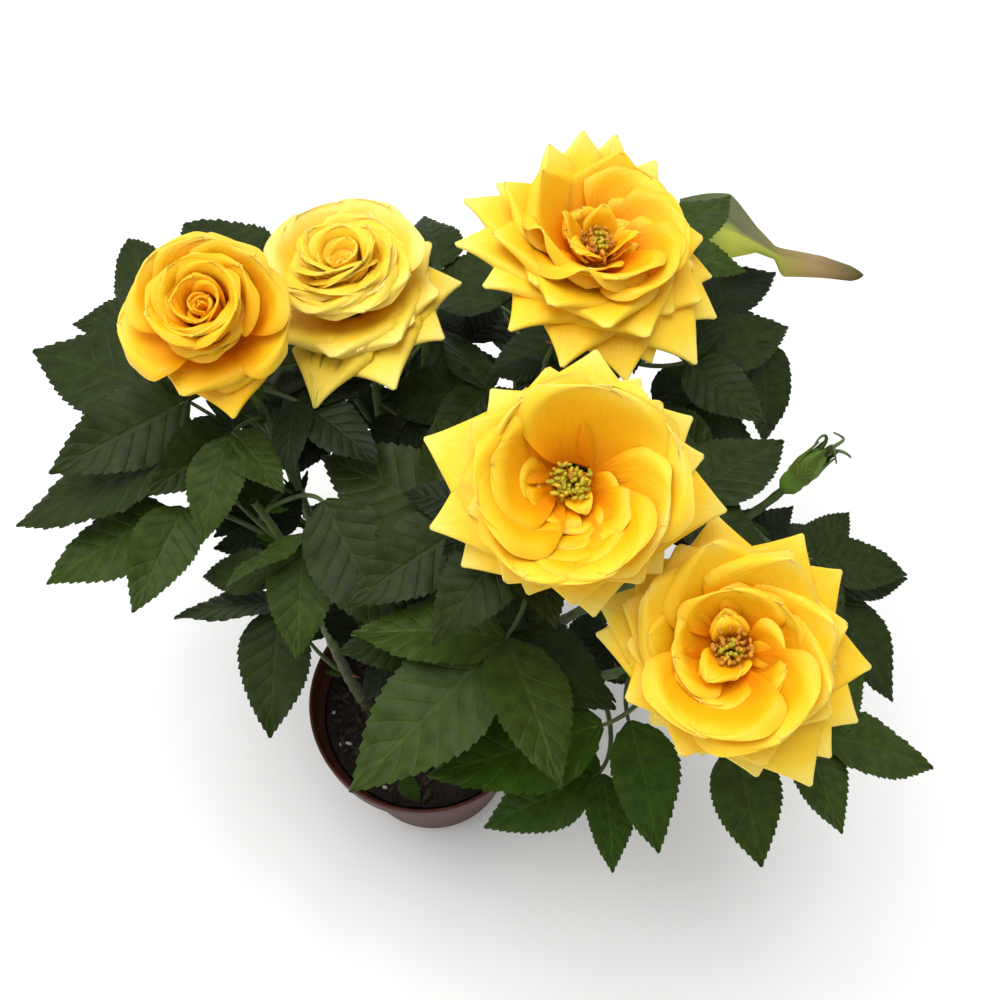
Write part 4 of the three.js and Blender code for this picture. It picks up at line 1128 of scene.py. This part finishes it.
def add_petals(shape, flower, bloom, chance):
    """All the petals of a bloom, from the outermost to its heart."""
    rows = bloom["petals"]
    towards, degrees = bloom["sag"]
    for index, (kind, size, width, azimuths) in enumerate(rows):
        level = min(int(3 * index / len(rows)), 2)
        measure = "length" if kind in UPRIGHT else "reach"
        for azimuth in azimuths:
            hang = degrees * math.cos(math.radians(azimuth - towards))
            petal = dict(zip(PETAL_FIELDS, KINDS[kind]), width=width, hang=hang, **{measure: size})
            add_petal(shape, flower, petal, azimuth + 5 * (chance() - 0.5), level, chance)


def add_petaloid(shape, flower, azimuth, chance):
    """A small crumpled petal near the heart."""
    petal = dict(root=1.5 + 2 * chance(), height=3, length=between(chance, (12, 19)),
                 width=between(chance, (7, 12)), open=(8 + 30 * chance(), 15 + 40 * chance(), 70 * chance()),
                 cup=0.6, roll=90, point=0.5, lip=40, hang=0)
    add_petal(shape, flower, petal, azimuth, 2, chance)


def make_heart(name, flower, chance, stamens, anther_look):
    """Stamens with anthers round a tuft of stigmas."""
    filaments, anthers, stigmas = Shape(), Shape(), Shape()
    add_profile(filaments, flower, [(0.1, 1.9), (3.6, 1.9), (4.4, 3.2), (4.0, 4.6), (2.5, 5.4), (0.1, 5.6)])
    for _ in range(stamens):
        azimuth, spread = 360 * chance(), chance()
        foot, bow = flower.at(1.5 + 1.5 * spread, 4, azimuth), flower.at(2 + 3.5 * spread, 8, azimuth)
        tip = flower.at(1.5 + 4.5 * spread, 9 + 5 * chance(), azimuth + 50 * (chance() - 0.5))
        add_limb(filaments, [foot, bow, tip], 6, (0.2, 0.2), 5)
        axis = heading(360 * chance(), 50 * chance())
        add_lump(anthers, tip, axis, vec(1.0, 0.55, 0.45) * (0.8 + 0.5 * chance()), 6, 7)
    for _ in range(STIGMAS):
        azimuth, spread = 360 * chance(), math.sqrt(chance())
        foot = flower.at(spread, 4, azimuth)
        tip = flower.at(3.2 * spread, 11 + 2.5 * chance(), azimuth)
        add_limb(stigmas, [foot, foot + flower.axis * 4, tip], 5, (0.3, 0.3), 5)
        add_lump(stigmas, tip, flower.axis, vec(0.6, 0.7, 0.7), 5, 6)
    filaments.build(f"stamens_{name}", STAMEN_LOOK, "petal")
    anthers.build(f"anthers_{name}", anther_look, "petal")
    stigmas.build(f"stigmas_{name}", STIGMA_LOOK, "petal")


def add_profile(shape, flower, profile, sides=20):
    """Round piece about the flower's axis, from rows of radius and height."""
    radii, heights = np.array(profile, float).T[..., None]
    points = rings(flower.base + heights * flower.axis, radii * flower.side, -radii * flower.normal, sides)
    shape.grid(points[:, ::-1], wrap=True)


def add_sepal(shape, flower, azimuth, length, width, slopes, chance):
    """A narrow sepal that starts at the hip and bends from one slope to another, with a thin tail."""
    steps = 28
    share = np.linspace(0, 1, steps)
    slope = np.radians(np.interp(share, [0, 0.5, 1], slopes))
    radial = flower.around(azimuth)
    step = length / (steps - 1)
    out = HIP["root"] + np.cumsum(np.cos(slope)) * step
    up = np.cumsum(np.sin(slope)) * step
    centre = flower.base + radial * out[:, None] + flower.axis * up[:, None]
    tangent = np.cross(flower.axis, radial)
    normal = -radial * np.sin(slope)[:, None] + flower.axis * np.cos(slope)[:, None]
    sway = tangent * (chance() - 0.5) * 0.25 * length * (share ** 2)[:, None]
    profile = np.interp(share, [0, 0.12, 0.35, 0.6, 0.8, 0.9, 1], [0.6, 0.95, 1.0, 0.55, 0.22, 0.26, 0.04])
    half = width * length / 2 * profile
    columns = np.array([-1, -0.5, 0, 0.5, 1])
    lift = 0.25 * half[:, None] * np.abs(columns)
    middle = ((centre + sway)[:, None] + (half[:, None] * columns)[..., None] * tangent
              + lift[..., None] * normal[:, None])
    normals = np.broadcast_to(normal[:, None], middle.shape)
    thickness = 0.25 * (1 - columns ** 4)[None] * np.ones((steps, 1)) + 0.02
    add_thin(shape, middle, normals, thickness, share, columns)


def make_bloom(name):
    bloom, chance = BLOOMS[name], seeded(200 + len(name))
    flower = Flower(name, bloom["lean"], bloom["shift"])
    petals, sepals, hip = Shape(), Shape(), Shape()
    add_petals(petals, flower, bloom, chance)
    if name == GUARD["bloom"]:
        guard, petal = Shape(), dict(zip(PETAL_FIELDS, KINDS["spike"]), **GUARD)
        add_petal(guard, flower, petal, GUARD["azimuth"], 2, chance)
        guard.build(f"guard_petal_{name}", GUARD_LOOK, "petal")
    if name in HEARTS:
        petaloids, stamens, anther_look = HEARTS[name]
        for _ in range(petaloids):
            add_petaloid(petals, flower, 360 * chance(), chance)
        make_heart(name, flower, chance, stamens, anther_look)
    petals.build(f"petals_{name}", PETAL_LOOKS[bloom["look"]], "petal", (f"bloom_{name}",))
    for k in range(SEPAL["count"]):
        azimuth = 360 / SEPAL["count"] * k + 20 * chance()
        add_sepal(sepals, flower, azimuth, SEPAL["length"], SEPAL["width"], SEPAL["slopes"], chance)
    sepals.build(f"sepals_{name}", SEPAL_LOOK, "leaf")
    add_profile(hip, flower, HIP["profile"])
    neck = [bezier_at(CURVES[name], 0.97)[0], vec(*SHOOTS[name]["tip"]), flower.base - flower.axis * 4]
    add_limb(hip, neck, 10, (HIP["neck"], HIP["neck"]), 12)
    hip.build(f"hip_{name}", STEM_LOOK, "leaf")


def make_bud(name):
    """A closed green bud with long curling sepals."""
    flower, chance = Flower(name), seeded(91)
    body, sepals = Shape(), Shape()
    length, radius = BUD["length"], BUD["radius"]
    add_profile(body, flower, [
        (0.1, -6), (1.6, -5.6), (3.2, -3.4), (3.6, -1.2), (3.3, 0.2), (3.9, 2), (radius * 0.92, length * 0.3),
        (radius, length * 0.45), (radius * 0.82, length * 0.66), (radius * 0.5, length * 0.84),
        (radius * 0.2, length * 0.96), (0.1, length),
    ], 28)
    body.build("bud_body", BUD_LOOK, "bud", (f"bud_{name}",))
    tails = Shape()
    for k in range(BUD["sepals"]):
        azimuth = 360 / BUD["sepals"] * k + 14 * chance()
        add_sepal(sepals, flower, azimuth, 14 + 3 * chance(), SEPAL["width"], (64, 97, 90), chance)
        if k == BUD["missing_tail"]:
            continue
        top = flower.at(1.2, length - 2, azimuth)
        out, height = between(chance, (3, 7)), between(chance, (4, 7))
        curl = [top, top + flower.axis * height * 1.3, flower.at(out + 2, length + height, azimuth),
                flower.at(out + 3, length + height * 0.2, azimuth + 50)]
        add_limb(tails, curl, 16, (0.7, 0.25), 7)
    sepals.build("bud_sepals", SEPAL_LOOK, "bud")
    tails.build("bud_sepal_tails", STEM_LOOK, "bud")


# ---------------------------------------------------------------- floor, light and camera

CAMERA = dict(place=(29, -159, 522), elevation=61, lens=43.2)
FLOOR = dict(reach=4000, height=-0.2)
DAYLIGHT = 0.58
LAMPS = {"overhead": ((-150, 200, 1500), 17), "window": ((-1100, -300, 900), 3.5)}  # place, watts
LAMP = dict(width=1.2, aim=(20, 20, 150))


def make_floor():
    steps = np.linspace(-FLOOR["reach"], FLOOR["reach"], 9)
    x, y = np.meshgrid(steps, steps)
    shape = Shape()
    shape.grid(np.stack([x, y, np.full_like(x, FLOOR["height"])], -1))
    floor = shape.build("floor", FLOOR_LOOK)
    floor.parent = None


def make_light():
    world = bpy.data.worlds.new("studio")
    world.use_nodes = True
    background = world.node_tree.nodes["Background"]
    background.inputs["Color"].default_value = (1.0, 1.0, 1.0, 1)
    background.inputs["Strength"].default_value = DAYLIGHT
    bpy.context.scene.world = world
    for name, (spot, power) in LAMPS.items():
        data = bpy.data.lights.new(name, "AREA")
        data.shape, data.size, data.energy = "DISK", LAMP["width"], power
        lamp = bpy.data.objects.new(name, data)
        bpy.context.scene.collection.objects.link(lamp)
        lamp.location = vec(*spot) * MM
        aim = Vector(vec(*LAMP["aim"]) * MM) - lamp.location
        lamp.rotation_euler = aim.to_track_quat("-Z", "Y").to_euler()


def make_camera():
    data = bpy.data.cameras.new("camera")
    data.lens, data.sensor_width, data.sensor_fit = CAMERA["lens"], 36, "HORIZONTAL"
    data.clip_start, data.clip_end = 0.01, 50
    camera = bpy.data.objects.new("camera", data)
    bpy.context.scene.collection.objects.link(camera)
    camera.location = vec(*CAMERA["place"]) * MM
    camera.rotation_euler = (math.radians(90 - CAMERA["elevation"]), 0, 0)
    bpy.context.scene.camera = camera


make_pot()
make_soil()
make_shoots()
make_foliage()
for bloom_name in BLOOMS:
    make_bloom(bloom_name)
make_bud("east")
make_floor()
make_light()
make_camera()
bpy.context.scene.view_settings.view_transform = "Standard"
